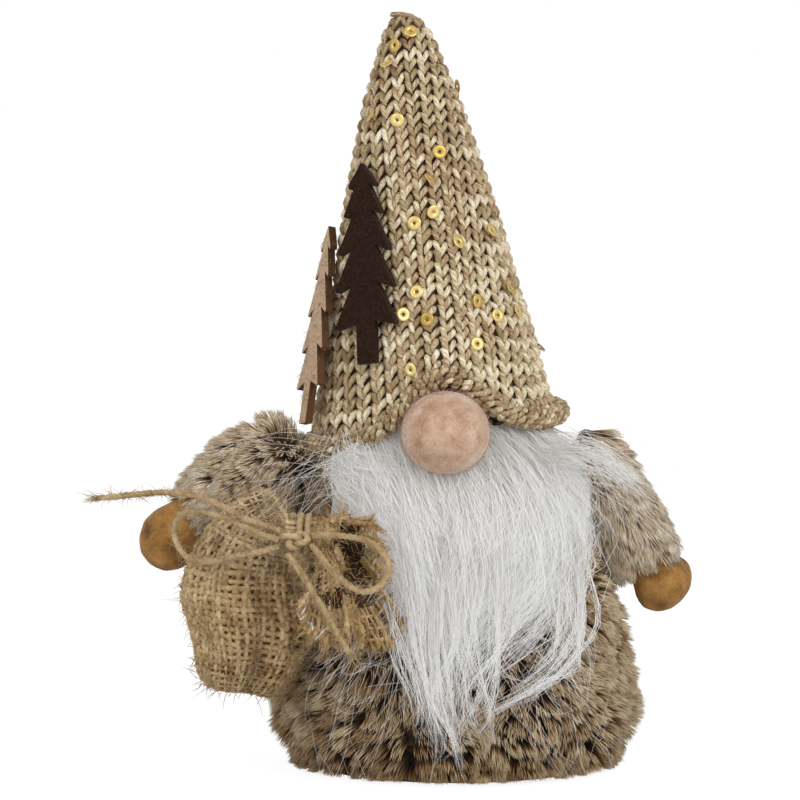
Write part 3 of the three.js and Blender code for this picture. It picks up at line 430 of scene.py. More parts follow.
def made_by_nodes(name, source, tree, inputs):
    """A piece whose plain mesh is what a tree of nodes makes of a source mesh. Its map holds the
    tone of each strand across and the way from root to tip upwards."""
    carrier = bpy.data.objects.new(name, source)
    scene.collection.objects.link(carrier)
    modifier = carrier.modifiers.new(tree.name, "NODES")
    modifier.node_group = tree
    for item in tree.interface.items_tree:
        if item.in_out == "INPUT" and item.name in inputs:
            modifier[item.identifier] = inputs[item.name]
    seen = carrier.evaluated_get(bpy.context.evaluated_depsgraph_get())
    mesh = bpy.data.meshes.new_from_object(seen)
    carrier.modifiers.remove(modifier)
    carrier.data = mesh
    mesh.name = name
    bpy.data.meshes.remove(source)
    if "tone" in mesh.attributes and "along" in mesh.attributes:
        corners = np.empty(len(mesh.loops), np.int32)
        mesh.loops.foreach_get("vertex_index", corners)
        across = np.empty(len(mesh.vertices), np.float32)
        upward = np.empty(len(mesh.vertices), np.float32)
        mesh.attributes["tone"].data.foreach_get("value", across)
        mesh.attributes["along"].data.foreach_get("value", upward)
        chart = mesh.uv_layers.new(name="OFBake")
        chart.data.foreach_set("uv", np.column_stack([across, upward])[corners].ravel())
    return carrier


def plain_material(name, roughness, sheen=0.0, metallic=0.0):
    """A material with its shader ready to be linked."""
    material = bpy.data.materials.new(name)
    material.use_nodes = True
    shader = material.node_tree.nodes["Principled BSDF"]
    shader.inputs["Roughness"].default_value = roughness
    shader.inputs["Metallic"].default_value = metallic
    shader.inputs["Sheen Weight"].default_value = sheen
    return material, material.node_tree, shader


def colour_ramp(tree, value, stops):
    """The colour that a value has on a ramp of (place, sRGB 0-255 colour) stops, in linear light."""
    node = tree.nodes.new("ShaderNodeValToRGB")
    ramp = node.color_ramp
    while len(ramp.elements) < len(stops):
        ramp.elements.new(0.5)
    for element, (place, colour) in zip(ramp.elements, stops):
        element.position = place
        element.color = (*[linear(c) for c in colour], 1)
    tree.links.new(value, node.inputs["Fac"])
    return node.outputs["Color"]


def linear(channel):
    """An sRGB channel of 0 to 255 in linear light."""
    share = channel / 255
    return share / 12.92 if share <= 0.04045 else ((share + 0.055) / 1.055) ** 2.4


def noise(tree, coordinates, scale, detail=3.0, stretch=None):
    """Noise read at some coordinates, which may be stretched first."""
    if stretch:
        mapping = tree.nodes.new("ShaderNodeMapping")
        mapping.inputs["Scale"].default_value = stretch
        tree.links.new(coordinates, mapping.inputs["Vector"])
        coordinates = mapping.outputs["Vector"]
    node = tree.nodes.new("ShaderNodeTexNoise")
    node.inputs["Scale"].default_value = scale
    node.inputs["Detail"].default_value = detail
    tree.links.new(coordinates, node.inputs["Vector"])
    return node.outputs["Fac"]


def multiply_add(tree, value, share, extra):
    """A share of one value added to another."""
    node = tree.nodes.new("ShaderNodeMath")
    node.operation = "MULTIPLY_ADD"
    node.inputs[1].default_value = share
    tree.links.new(value, node.inputs[0])
    tree.links.new(extra, node.inputs[2])
    return node.outputs["Value"]


def shader_group(name, inputs, outputs):
    """An empty group of shader nodes with named sockets, and its input and output nodes."""
    group = bpy.data.node_groups.new(name, "ShaderNodeTree")
    for socket_name, kind in inputs:
        group.interface.new_socket(socket_name, in_out="INPUT", socket_type=kind)
    for socket_name in outputs:
        group.interface.new_socket(socket_name, in_out="OUTPUT", socket_type="NodeSocketFloat")
    return group, group.nodes.new("NodeGroupInput"), group.nodes.new("NodeGroupOutput")


def placed_group(tree, group, links, values):
    """A group placed in a material, with what is linked to its inputs and its own values."""
    node = tree.nodes.new("ShaderNodeGroup")
    node.node_tree = group
    for socket_name, source in links.items():
        tree.links.new(source, node.inputs[socket_name])
    for socket_name, value in values.items():
        node.inputs[socket_name].default_value = value
    return node


def bump(tree, shader, height, strength, distance):
    """Bump from a height, fed to a shader's normal."""
    node = tree.nodes.new("ShaderNodeBump")
    node.inputs["Strength"].default_value = strength
    node.inputs["Distance"].default_value = distance
    tree.links.new(height, node.inputs["Height"])
    tree.links.new(node.outputs["Normal"], shader.inputs["Normal"])


def spun_fibre_group():
    """Shades spun fibre by its yarn's tone and in patches, and puts out its fine fibres as well."""
    group, given, result = shader_group("spun_fibre", [
        ("Place", "NodeSocketVector"), ("Tone", "NodeSocketFloat"), ("Grain", "NodeSocketFloat")],
        ["Shade", "Fibres"])
    link = group.links.new
    patches = noise(group, given.outputs["Place"], 260.0)
    fibres = noise(group, given.outputs["Place"], 900.0, 4.0)
    link(given.outputs["Grain"], fibres.node.inputs["Scale"])
    total = multiply_add(group, given.outputs["Tone"], 0.45, patches)
    even = group.nodes.new("ShaderNodeMapRange")
    even.inputs["From Min"].default_value = 0.55
    even.inputs["From Max"].default_value = 1.5
    link(multiply_add(group, fibres, 0.6, total), even.inputs["Value"])
    link(even.outputs["Result"], result.inputs["Shade"])
    link(fibres, result.inputs["Fibres"])
    return group


def yarn_material(name, stops, grain=900.0, roughness=0.85, sheen=0.25):
    """Spun fibre: a tone that changes from yarn to yarn and in patches, with fine fibres."""
    material, tree, shader = plain_material(name, roughness, sheen)
    tone = tree.nodes.new("ShaderNodeAttribute")
    tone.attribute_name = "tone"
    spun = placed_group(tree, spun_fibre, {
        "Place": tree.nodes.new("ShaderNodeTexCoord").outputs["Object"],
        "Tone": tone.outputs["Fac"]}, {"Grain": grain})
    tree.links.new(colour_ramp(tree, spun.outputs["Shade"], stops), shader.inputs["Base Color"])
    bump(tree, shader, spun.outputs["Fibres"], 0.5, 0.0002)
    return material


spun_fibre = spun_fibre_group()
sweep_tree = sweeping_nodes()
twine_section = section_outline("twine_section", 15, lobes=3, depth=0.3)
fibre_section = section_outline("fibre_section", 3)
jute_twine = yarn_material("jute_twine", [
    (0.0, (112, 85, 50)), (0.35, (168, 138, 93)), (0.7, (200, 174, 130)), (1.0, (230, 210, 172))])


def swept(name, body, slot, lines, thick, tones, section, twist, finish, closed=False):
    """Lines swept to one piece that rides on a body."""
    piece = made_by_nodes(name, line_mesh(name, lines, thick, tones, closed), sweep_tree, {
        "Section": section, "Twist": twist, "Finish": finish})
    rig.ride(piece, body)
    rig.slot(piece, slot)
    return piece


def twine_piece(name, route, seed):
    """Twine along a route, with slight swells as hand-twisted jute has."""
    swell = np.random.default_rng(seed).uniform(0.92, 1.08, len(route))
    swell = np.convolve(np.pad(swell, 4, mode="edge"), np.ones(9) / 9, mode="valid")
    return swept(name, "sack_arm", "jute_twine", [route], [TWINE / 2 * 1.08 * swell], [0.5],
                 twine_section, TWINE_TURN, jute_twine)


twine_routes = {}
for node, offsets, end in (("bow_loop_outer", LEFT_LOOP, "object"),
                           ("bow_loop_inner", RIGHT_LOOP, "object"),
                           ("bow_tail_long", LONG_TAIL, "bare"),
                           ("bow_tail_short", SHORT_TAIL, "bare")):
    route = smooth_route(knot + np.array(offsets) / 1000, TWINE_STEP)
    twine_routes[node] = route
    twine = twine_piece(f"twine_{node}", route, len(offsets))
    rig.replaces(twine, node)
    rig.cord(twine, exit=route[0], length=route_length(route), diameter=TWINE, far_end=end,
            stiffness="medium", lay="loose", path=route)

tie_turn = np.linspace(0, 2 * np.pi * TIE_TURNS, 130)
tie_along = (TWINE + TIE_GAP) * (tie_turn / (2 * np.pi) - TIE_TURNS / 2)
tie_route = neck + np.column_stack([tie_along, tie_radius * np.sin(tie_turn),
                                    tie_radius * np.cos(tie_turn)])
tie = twine_piece("twine_neck_tie", tie_route, 31)
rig.replaces(tie, "neck_tie")

knot_turn = np.linspace(0, 2 * np.pi, 90)
knot_form = np.column_stack([
    np.sin(knot_turn) + 2 * np.sin(2 * knot_turn),
    -np.sin(3 * knot_turn),
    np.cos(knot_turn) - 2 * np.cos(2 * knot_turn),
])
knot_reach = (np.array(KNOT_SIZE) - TWINE) / 2 / np.abs(knot_form).max(axis=0)
knot_piece = twine_piece("twine_bow_knot", knot + knot_form * knot_reach, 47)
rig.replaces(knot_piece, "bow_knot")

# Loose fibres that stand off the twine, and the frayed ends of both tails
fibre_dice = np.random.default_rng(5)


def loose_fibres(routes, count, reach, radius, dice, off=1.0):
    """Short bent fibres that leave swept yarn at random places, more or less off it."""
    lines = []
    for _ in range(count):
        route = routes[dice.integers(len(routes))]
        at = dice.integers(1, len(route) - 1)
        along = route[at + 1] - route[at - 1]
        along /= np.linalg.norm(along) + 1e-9
        out = np.cross(along, dice.normal(size=3))
        out /= np.linalg.norm(out) + 1e-9
        way = out * off + along * dice.uniform(-1.2, 1.2)
        way /= np.linalg.norm(way)
        bend = dice.normal(size=3) * 0.35
        length = reach * dice.uniform(0.4, 1.0)
        share = np.linspace(0, 1, 4)[:, None]
        start = route[at] + out * radius * 0.8
        lines.append(start + length * (way * share + bend * share ** 2))
    return lines


def hair_sizes(lines, root):
    """Sizes that taper from a root to a fine tip."""
    return [root * (1 - 0.8 * np.linspace(0, 1, len(line)) ** 2) for line in lines]


def hair_piece(name, body, slot, lines, root, tones, finish):
    """Fine hairs swept as one piece, each thinning from its root to its tip."""
    return swept(name, body, slot, lines, hair_sizes(lines, root), tones, fibre_section, 0.0, finish)


twine_fuzz = []
for count, reach, off in TWINE_FUZZ:
    twine_fuzz += loose_fibres(list(twine_routes.values()), count, reach, TWINE / 2, fibre_dice, off)
for tail in ("bow_tail_long", "bow_tail_short"):
    route = twine_routes[tail]
    way = route[-1] - route[-4]
    way /= np.linalg.norm(way)
    for _ in range(TAIL_FRAYS):
        spread = fibre_dice.normal(size=3) * 0.32
        share = np.linspace(0, 1, 6)[:, None]
        start = route[-2] + fibre_dice.normal(size=3) * TWINE * 0.22
        reach = fibre_dice.uniform(0.002, 0.0052)
        twine_fuzz.append(start + reach * (way * share + spread * share ** 1.6))
hair_piece("twine_fibres", "sack_arm", "jute_twine", twine_fuzz, FUZZ_ROOT,
           fibre_dice.uniform(0, 1, len(twine_fuzz)), jute_twine)

# Body: long-pile cloth sewn to a cup and stuffed, brown at the roots with pale tips. The pile is
# made of strands that lean together in tufts, planted on a dark skin that is the cloth itself.
BODY_WIDTH = 0.095
BODY_DEPTH = 0.083
BODY_HEIGHT = 0.094
HEM_HEIGHT = 0.010
LEAN = math.tan(math.radians(4.3))
LEAN_START = 0.027
BODY_SKIN_DEPTH = 0.0046
BODY_ROOT_DEPTH = 0.0066
BODY_STRANDS = 15500
BACK_STRAND_SHARE = 0.54
BODY_BANDS = {"front_left": (-90, 0), "front_right": (0, 90), "back_right": (90, 180),
              "back_left": (180, 270)}
TUFT_SHARE = 0.035
TUFT_SPREAD = 0.16
TUFT_GATHER = 0.42
FLOOR_GAP = 0.0009
BODY_PLACES = [0, 0.045, 0.105, 0.167, 0.31, 0.476, 0.595, 0.714, 0.833, 0.94, 1.036, 1.083]
BODY_SHARES = [0.93, 0.985, 1, 1, 0.955, 0.905, 0.835, 0.75, 0.68, 0.6, 0.53, 0.42]


def lean_at(height):
    """How far the middle leans towards -X at a height."""
    return -LEAN * np.maximum(0, height - LEAN_START)


def body_skin(turn, height, out):
    """Points of the body's outline, or a little outside it. A turn of 0 is the front."""
    share = np.interp((height - HEM_HEIGHT) / (BODY_HEIGHT - HEM_HEIGHT), BODY_PLACES, BODY_SHARES)
    return np.stack([lean_at(height) + (BODY_WIDTH / 2 * share + out) * np.sin(turn),
                     -(BODY_DEPTH / 2 * share + out) * np.cos(turn),
                     height + 0 * turn], axis=-1)


def unit(vectors):
    """The same directions, each of length 1."""
    return vectors / (np.linalg.norm(vectors, axis=-1, keepdims=True) + 1e-12)


def skin_axes(skin, turn, height, out):
    """Points of a skin with the directions across it, up it and out of it."""
    across = unit(skin(turn + 0.01, height, out) - skin(turn - 0.01, height, out))
    up = unit(skin(turn, height + 0.0004, out) - skin(turn, height - 0.0004, out))
    outwards = unit(np.cross(across, up))
    return skin(turn, height, out), across, unit(np.cross(outwards, across)), outwards


def ring_shell(name, rings, finish, body, closed=True):
    """A smooth shell over rings of points, closed to a point at both ends unless it is a tube."""
    around = len(rings[0])
    points = np.vstack(rings)
    faces = []
    for r in range(len(rings) - 1):
        for i in range(around):
            j = (i + 1) % around
            faces.append((r * around + i, r * around + j, (r + 1) * around + j, (r + 1) * around + i))
    if closed:
        ends = [rings[0].mean(axis=0), rings[-1].mean(axis=0)]
        points = np.vstack([points, ends])
        low, high = len(points) - 2, len(points) - 1
        last = (len(rings) - 1) * around
        faces += [(low, (i + 1) % around, i) for i in range(around)]
        faces += [(high, last + i, last + (i + 1) % around) for i in range(around)]
    mesh = bpy.data.meshes.new(name)
    mesh.from_pydata(points.tolist(), [], faces)
    mesh.polygons.foreach_set("use_smooth", np.ones(len(faces), bool))
    mesh.materials.append(finish)
    mesh.update()
    piece = bpy.data.objects.new(name, mesh)
    scene.collection.objects.link(piece)
    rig.ride(piece, body)
    return piece


def planting_nodes():
    """Puts a shape on every point of a mesh, turned and sized as the point says."""
    tree, source, result = node_tree("plant_on_points", [
        ("Shape", "NodeSocketObject"), ("Finish", "NodeSocketMaterial")])
    link = tree.links.new
    points = tree.nodes.new("GeometryNodeMeshToPoints")
    link(source.outputs["Geometry"], points.inputs["Mesh"])
    shape = tree.nodes.new("GeometryNodeObjectInfo")
    link(source.outputs["Shape"], shape.inputs["Object"])
    turn = tree.nodes.new("FunctionNodeEulerToRotation")
    link(named_value(tree, "turn", "FLOAT_VECTOR"), turn.inputs["Euler"])
    plant = tree.nodes.new("GeometryNodeInstanceOnPoints")
    link(points.outputs["Points"], plant.inputs["Points"])
    link(shape.outputs["Geometry"], plant.inputs["Instance"])
    link(turn.outputs["Rotation"], plant.inputs["Rotation"])
    link(named_value(tree, "size", "FLOAT_VECTOR"), plant.inputs["Scale"])
    real = tree.nodes.new("GeometryNodeRealizeInstances")
    link(plant.outputs["Instances"], real.inputs["Geometry"])
    finish = tree.nodes.new("GeometryNodeSetMaterial")
    link(real.outputs["Geometry"], finish.inputs["Geometry"])
    link(source.outputs["Finish"], finish.inputs["Material"])
    link(finish.outputs["Geometry"], result.inputs["Geometry"])
    return tree


def strand_shape(name, levels, thicks, bend):
    """One strand of length 1 along +Z, three-sided, blunt at its tip and arched towards -X."""
    rings = len(levels)
    angles = np.arange(3) * 2 * np.pi / 3
    points = []
    for level, reach in zip(levels, thicks):
        points += [(bend * (level ** 2 - level) + reach * math.cos(a), reach * math.sin(a), level)
                   for a in angles]
    points.append((0, 0, 1))
    faces = [(2, 1, 0)]
    for r in range(rings - 1):
        faces += [(3 * r + i, 3 * r + (i + 1) % 3, 3 * r + 3 + (i + 1) % 3, 3 * r + 3 + i)
                  for i in range(3)]
    low, tip = 3 * (rings - 1), 3 * rings
    faces += [(low + i, low + (i + 1) % 3, tip) for i in range(3)]
    mesh = bpy.data.meshes.new(name)
    mesh.from_pydata(points, [], faces)
    mesh.polygons.foreach_set("use_smooth", np.ones(len(faces), bool))
    along = mesh.attributes.new("along", "FLOAT", "POINT")
    along.data.foreach_set("value", np.array([p[2] for p in points], np.float32))
    return hidden_shape(name, mesh)


def point_mesh(name, points, along_z, along_x, sizes, tones):
    """Points with the turn, size and tone that the planting nodes read. The shape's +Z is laid
    along one direction and its +X as near as may be to the other."""
    ways = unit(along_z)
    side = unit(along_x - ways * np.sum(along_x * ways, axis=1, keepdims=True))
    third = np.cross(ways, side)
    turns = np.column_stack([
        np.arctan2(third[:, 2], ways[:, 2]),
        -np.arcsin(np.clip(side[:, 2], -1, 1)),
        np.arctan2(side[:, 1], side[:, 0]),
    ])
    mesh = bpy.data.meshes.new(name)
    mesh.vertices.add(len(points))
    mesh.vertices.foreach_set("co", points.astype(np.float32).ravel())
    for key, values in (("turn", turns), ("size", sizes)):
        layer = mesh.attributes.new(key, "FLOAT_VECTOR", "POINT")
        layer.data.foreach_set("vector", values.astype(np.float32).ravel())
    layer = mesh.attributes.new("tone", "FLOAT", "POINT")
    layer.data.foreach_set("value", np.asarray(tones, np.float32))
    return mesh


def strand_shade_group():
    """Shades a strand from root to tip by its own map, with some strands paler and some darker."""
    group, given, result = shader_group("strand_shade", [("Map", "NodeSocketVector")], ["Shade"])
    link = group.links.new
    split = group.nodes.new("ShaderNodeSeparateXYZ")
    link(given.outputs["Map"], split.inputs["Vector"])
    centre = group.nodes.new("ShaderNodeMath")
    centre.operation = "SUBTRACT"
    centre.inputs[1].default_value = 0.14
    link(multiply_add(group, split.outputs["X"], 0.28, split.outputs["Y"]), centre.inputs[0])
    link(centre.outputs["Value"], result.inputs["Shade"])
    return group


def fur_material(name, stops, roughness=0.8, sheen=0.0):
    """Pile that goes from root to tip colours, with some strands paler and some darker."""
    material, tree, shader = plain_material(name, roughness, sheen)
    chart = tree.nodes.new("ShaderNodeUVMap")
    chart.uv_map = "OFBake"
    strand = placed_group(tree, strand_shade, {"Map": chart.outputs["UV"]}, {})
    tree.links.new(colour_ramp(tree, strand.outputs["Shade"], stops), shader.inputs["Base Color"])
    return material


def planted(name, body, slot, points, along_z, along_x, sizes, tones, shape, finish):
    """Copies of a shape planted on points, as one piece that rides on a body."""
    piece = made_by_nodes(name, point_mesh(name, points, along_z, along_x, sizes, tones),
                          plant_tree, {"Shape": shape, "Finish": finish})
    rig.ride(piece, body)
    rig.slot(piece, slot)
    return piece


def tufted_fur(name, body, slot, roots, ways, downs, lengths, dice, finish, painted_shade_and_patches=0.0):
    """Strands whose tips draw together in tufts. The tufts differ in direction and in tone. The
    last argument adds painted shade and light, and patches of tone, to each strand's tone.
    """
    count = len(roots)
    leaders = dice.choice(count, max(2, int(count * TUFT_SHARE)), replace=False)
    tree = KDTree(len(leaders))
    for i, leader in enumerate(leaders):
        tree.insert(roots[leader], i)
    tree.balance()
    chosen = leaders[np.array([tree.find(root)[1] for root in roots])]
    tuft_way = unit(ways[chosen] + dice.normal(size=(count, 3))[chosen] * TUFT_SPREAD)
    tip = roots + unit(ways) * lengths[:, None]
    tuft_tip = roots[chosen] + tuft_way * lengths[chosen, None] * 1.05 + (roots - roots[chosen]) * 0.3
    tip = tip * (1 - TUFT_GATHER) + tuft_tip * TUFT_GATHER
    tip[:, 2] = np.maximum(tip[:, 2], FLOOR_GAP)
    reach = tip - roots
    length = np.linalg.norm(reach, axis=1)
    sizes = np.column_stack([length * dice.uniform(0.8, 1.7, count), length, length])
    tones = np.clip(0.5 + painted_shade_and_patches + 0.14 * dice.normal(size=count)
                    + 0.28 * dice.normal(size=count)[chosen], 0, 1)
    return planted(name, body, slot, roots, reach, downs, sizes, tones, fur_strand, finish)


plant_tree = planting_nodes()
strand_shade = strand_shade_group()
fur_strand = strand_shape("fur_strand", (0, 0.76), (0.011, 0.0165), 0.22)
fibre_strand = strand_shape("fibre_strand", (0, 0.5), (0.021, 0.014), 0.55)
brown_pile = fur_material("brown_pile", [
    (0.0, (52, 28, 8)), (0.25, (84, 51, 20)), (0.5, (124, 87, 45)), (0.74, (170, 135, 90)),
    (1.0, (236, 216, 180))], 0.8, 0.12)
skin_cloth = yarn_material("pile_backing", [
    (0.0, (70, 45, 20)), (0.5, (96, 66, 36)), (1.0, (122, 92, 58))], grain=1500.0)

body_levels = np.linspace(HEM_HEIGHT, BODY_HEIGHT + 0.006, 26)
shell_turn = np.linspace(0, 2 * np.pi, 56, endpoint=False)
body_shell = ring_shell("body_skin", [
    body_skin(shell_turn, level + 0 * shell_turn, -BODY_SKIN_DEPTH) for level in body_levels],
    skin_cloth, "figure")
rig.slot(body_shell, "body_fur")
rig.replaces(body_shell, "body_fur")
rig.padded(body_shell, fill=0.8)


def body_roots(count, low_turn, high_turn, dice):
    """Turns and heights spread evenly over the body's cloth, thinner where the beard hides it."""
    turn = np.radians(dice.uniform(low_turn, high_turn, 3 * count))
    height = dice.uniform(HEM_HEIGHT + 0.0018, BODY_HEIGHT + 0.002, 3 * count)
    share = np.interp((height - HEM_HEIGHT) / (BODY_HEIGHT - HEM_HEIGHT), BODY_PLACES, BODY_SHARES)
    hidden = (np.abs(turn) < np.radians(34)) & (height > 0.030) & (height < 0.094)
    keep = dice.uniform(0, 1, 3 * count) < share * np.where(hidden, 0.3, 1)
    return turn[keep][:count], height[keep][:count]


for band, (low_turn, high_turn) in BODY_BANDS.items():
    dice = np.random.default_rng(100 + low_turn)
    count = BODY_STRANDS if band.startswith("front") else int(BODY_STRANDS * BACK_STRAND_SHARE)
    turn, height = body_roots(count, low_turn, high_turn, dice)
    root, across, up, outwards = skin_axes(body_skin, turn, height, -BODY_ROOT_DEPTH)
    sway = 0.36 * np.sin(5 * turn + 120 * height) + 0.2 * np.sin(11 * turn - 260 * height)
    fan = 0.24 * np.sin(7 * turn + 190 * height) * np.sin(4 * turn - 90 * height)
    low_share = np.clip((0.028 - height) / 0.016, 0, 1)
    way = (outwards - up * (0.5 - 0.42 * low_share + fan)[:, None]
           + across * (sway * (1 + 0.5 * low_share))[:, None]
           + dice.normal(size=root.shape) * 0.09)
    length = dice.uniform(0.0084, 0.0104, len(root)) * (1 + 0.1 * low_share)
    # painted shade and light: strands on the left (-X) are darker and those on the right paler, with real patches of
    # tone over it
    tufted_fur(f"body_pile_{band}", "figure", "body_fur", root, way, -up, length, dice, brown_pile,
               np.clip(6 * root[:, 0], -0.24, 0.08) + 0.08 * np.sin(70 * root[:, 2] + 3 * turn))

# Hem: the strip of the same cloth round the base, its pile combed down to the table, with the
# seam above it hidden in a dark groove.
HEM_HALF_WIDTH = 0.0415
HEM_SKIN_DEPTH = 0.0026
HEM_ROOT_DEPTH = 0.004
HEM_STRANDS = 12500


def hem_skin(turn, height, out):
    """Points of the hem's outline, nearly upright."""
    half = HEM_HALF_WIDTH * np.interp(height, [0.0003, 0.0036, 0.0074, 0.0097], [0.95, 1, 1, 0.97])
    ratio = BODY_DEPTH / BODY_WIDTH
    return np.stack([(half + out) * np.sin(turn), -(half + out) * ratio * np.cos(turn),
                     height + 0 * turn], axis=-1)


hem_shell = ring_shell("hem_skin", [
    hem_skin(shell_turn, level + 0 * shell_turn, -HEM_SKIN_DEPTH) for level in (0.0004, 0.004, 0.0096)],
    skin_cloth, "figure")
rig.slot(hem_shell, "hem_fur")
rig.replaces(hem_shell, "hem_band")
dice = np.random.default_rng(7)
turn = dice.uniform(0, 2 * np.pi, HEM_STRANDS)
height = 0.0016 + 0.0078 * dice.uniform(0, 1, HEM_STRANDS) ** 0.6
root, across, up, outwards = skin_axes(hem_skin, turn, height, -HEM_ROOT_DEPTH)
way = (outwards * 0.62 - up * (0.25 + 78 * height)[:, None]
       + across * (0.4 * np.sin(9 * turn + 1.9) + 0.3 * np.sin(23 * turn + 1.1))[:, None]
       + dice.normal(size=root.shape) * 0.08)
way = unit(way)
length = dice.uniform(0.0080, 0.0104, HEM_STRANDS)
# painted shade: the hem's pile is a darker copy of the body's pile, for the shade low down by the table
hem_shaded_pile = fur_material("hem_pile", [
    (0.0, (38, 19, 4)), (0.25, (66, 36, 10)), (0.5, (98, 62, 23)), (0.74, (140, 101, 54)),
    (1.0, (220, 192, 148))], 0.8, 0.12)
# painted shade and light: the hem's strands on the left (-X) are darker and those on the right paler
tufted_fur("hem_pile_strands", "figure", "hem_fur", root, way, -up, length, dice, hem_shaded_pile,
           np.clip(4 * root[:, 0], -0.14, 0.14))

# Sleeves: tubes of a paler pile cloth, stuffed, sewn shut at the shoulder and open at the cuff. The
# pile lies towards the cuff and hangs over it.
SHOULDER_RADIUS = 0.0092
SLEEVE_ROOT_DEPTH = 0.0055
SKIN_OVER_ROOTS = 0.0016
FILLING_OVER_ROOTS = 0.0004
ARMS = {
    "sack_arm": {
        "pivot": (-0.046874, -0.001, 0.0774),
        "way": (-math.cos(math.radians(18)), -0.42, -math.sin(math.radians(18))),
        "length": 0.023, "width": 0.027,
        "places": [0, 0.16, 0.36, 0.62, 0.85, 1], "shares": [0.9, 0.97, 0.96, 0.88, 0.77, 0.68],
        "lifts": [0.13, 0.16, 0.13, 0.07, 0.03, 0.02], "strands": 14500, "over": 0.0015,
        "rise": 0.9,
    },
    "free_arm": {
        "pivot": (0.037835, -0.004, 0.082),
        "way": (math.cos(math.radians(64)), -0.1, -math.sin(math.radians(64))),
        "length": 0.030, "width": 0.021,
        "places": [0, 0.2, 0.5, 0.8, 1], "shares": [0.88, 0.98, 1.05, 1.06, 1],
        "lifts": [0, 0, 0.02, 0.02, 0], "strands": 14500, "over": -0.0032,
        "rise": 0,
    },
}


def arm_frame(arm):
    """A sleeve's pivot, the way it points, and the directions up and sideways across it."""
    way = unit(np.array(arm["way"]))
    upright = unit(np.array([0, 0, 1]) - way * way[2])
    return np.array(arm["pivot"]), way, upright, np.cross(way, upright)


def sleeve_skin(arm):
    """The skin of a sleeve, as a function of the turn round it and the distance along it."""
    pivot, way, upright, aside = arm_frame(arm)

    def skin(turn, distance, out):
        place = np.clip(distance / arm["length"], 0, 1)
        half = np.maximum(SHOULDER_RADIUS, arm["width"] / 2
                          * np.interp(place, arm["places"], arm["shares"]))
        lift = arm["width"] * np.interp(place, arm["places"], arm["lifts"])
        ball = np.sqrt(np.clip(1 - (np.minimum(distance, 0) / SHOULDER_RADIUS) ** 2, 0.02, 1))
        half = (half + out) * ball
        lift = lift * ball ** 2
        return (pivot + way * (distance + 0 * turn)[..., None]
                + upright * (half * np.cos(turn) + lift)[..., None]
                + aside * (0.92 * half * np.sin(turn))[..., None])
    return skin


sleeve_pile = fur_material("sleeve_pile", [
    (0.0, (84, 56, 28)), (0.25, (134, 102, 66)), (0.5, (178, 148, 110)), (0.74, (214, 190, 155)),
    (1.0, (246, 234, 212))], 0.8, 0.12)
for arm_name, arm in ARMS.items():
    skin = sleeve_skin(arm)
    length = arm["length"]
    stops = np.concatenate([np.linspace(-SHOULDER_RADIUS * 0.99, 0, 6), np.linspace(0.002, length, 12)])
    shell = ring_shell(f"{arm_name}_skin", [
        skin(shell_turn, stop + 0 * shell_turn, -SLEEVE_ROOT_DEPTH + SKIN_OVER_ROOTS) for stop in stops],
        skin_cloth, arm_name)
    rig.slot(shell, "sleeve_fur")
    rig.replaces(shell, f"{arm_name}_sleeve")
    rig.padded(shell, fill=0.6)
    arm_filling = ring_shell(f"{arm_name}_filling", [
        skin(shell_turn, stop + 0 * shell_turn, -SLEEVE_ROOT_DEPTH + FILLING_OVER_ROOTS)
        for stop in stops[1:-1]],
        skin_cloth, arm_name)
    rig.slot(arm_filling, "fibre_stuffing")
    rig.replaces(arm_filling, f"{arm_name}_stuffing")
    dice = np.random.default_rng(len(arm_name) + int(1000 * length))
    count = arm["strands"]
    turn = dice.uniform(0, 2 * np.pi, count)
    distance = dice.uniform(-0.9 * SHOULDER_RADIUS, length + arm["over"], count)
    root, across, along, outwards = skin_axes(skin, turn, distance, -SLEEVE_ROOT_DEPTH)
    way_out = arm_frame(arm)[1]
    cuff_share = np.clip(distance / length, 0, 1)[:, None]
    seam_share = np.clip((0.001 - distance) / 0.005, 0, 1)[:, None] * arm["rise"]
    risen = seam_share * np.clip(2 * np.cos(turn), 0, 1)[:, None]
    way = (outwards * (0.72 - 0.2 * cuff_share)
           + way_out * ((0.75 + 0.2 * cuff_share) * (1 - seam_share)) + np.array([0, 0, 0.6]) * risen
           - np.array([0, 0, 0.22]) + across * (0.3 * np.sin(7 * turn + 300 * distance))[:, None]
           + dice.normal(size=root.shape) * 0.07)
    at_seam = (distance < -0.0036) & (np.cos(turn) > 0.2) & (arm["rise"] > 0)
    lengths = (dice.uniform(0.0080, 0.0102, count) * np.where(at_seam, 0.5, 1)
               * (1 - 0.28 * np.clip(4 * cuff_share[:, 0] - 3, 0, 1)))
    tufted_fur(f"{arm_name}_pile", arm_name, "sleeve_fur", root, way, -outwards, lengths, dice,
               sleeve_pile)

# Mitts: ochre suede, sewn and stuffed to a round end. The nap is brushed paler and darker in
# patches, with specks where it is worn.
def mottle_group():
    """Broad patches of tone with a share of fine nap over them."""
    group, given, result = shader_group("mottle", [("Place", "NodeSocketVector")] + [
        (socket_name, "NodeSocketFloat") for socket_name in (
            "Patch Scale", "Patch Detail", "Nap Scale", "Nap Detail", "Nap Share")], ["Tone"])
    link = group.links.new
    layers = []
    for layer in ("Patch", "Nap"):
        layers.append(noise(group, given.outputs["Place"], 1.0))
        link(given.outputs[f"{layer} Scale"], layers[-1].node.inputs["Scale"])
        link(given.outputs[f"{layer} Detail"], layers[-1].node.inputs["Detail"])
    patches, nap = layers
    tone = multiply_add(group, nap, 1.0, patches)
    link(given.outputs["Nap Share"], tone.node.inputs[1])
    link(tone, result.inputs["Tone"])
    return group


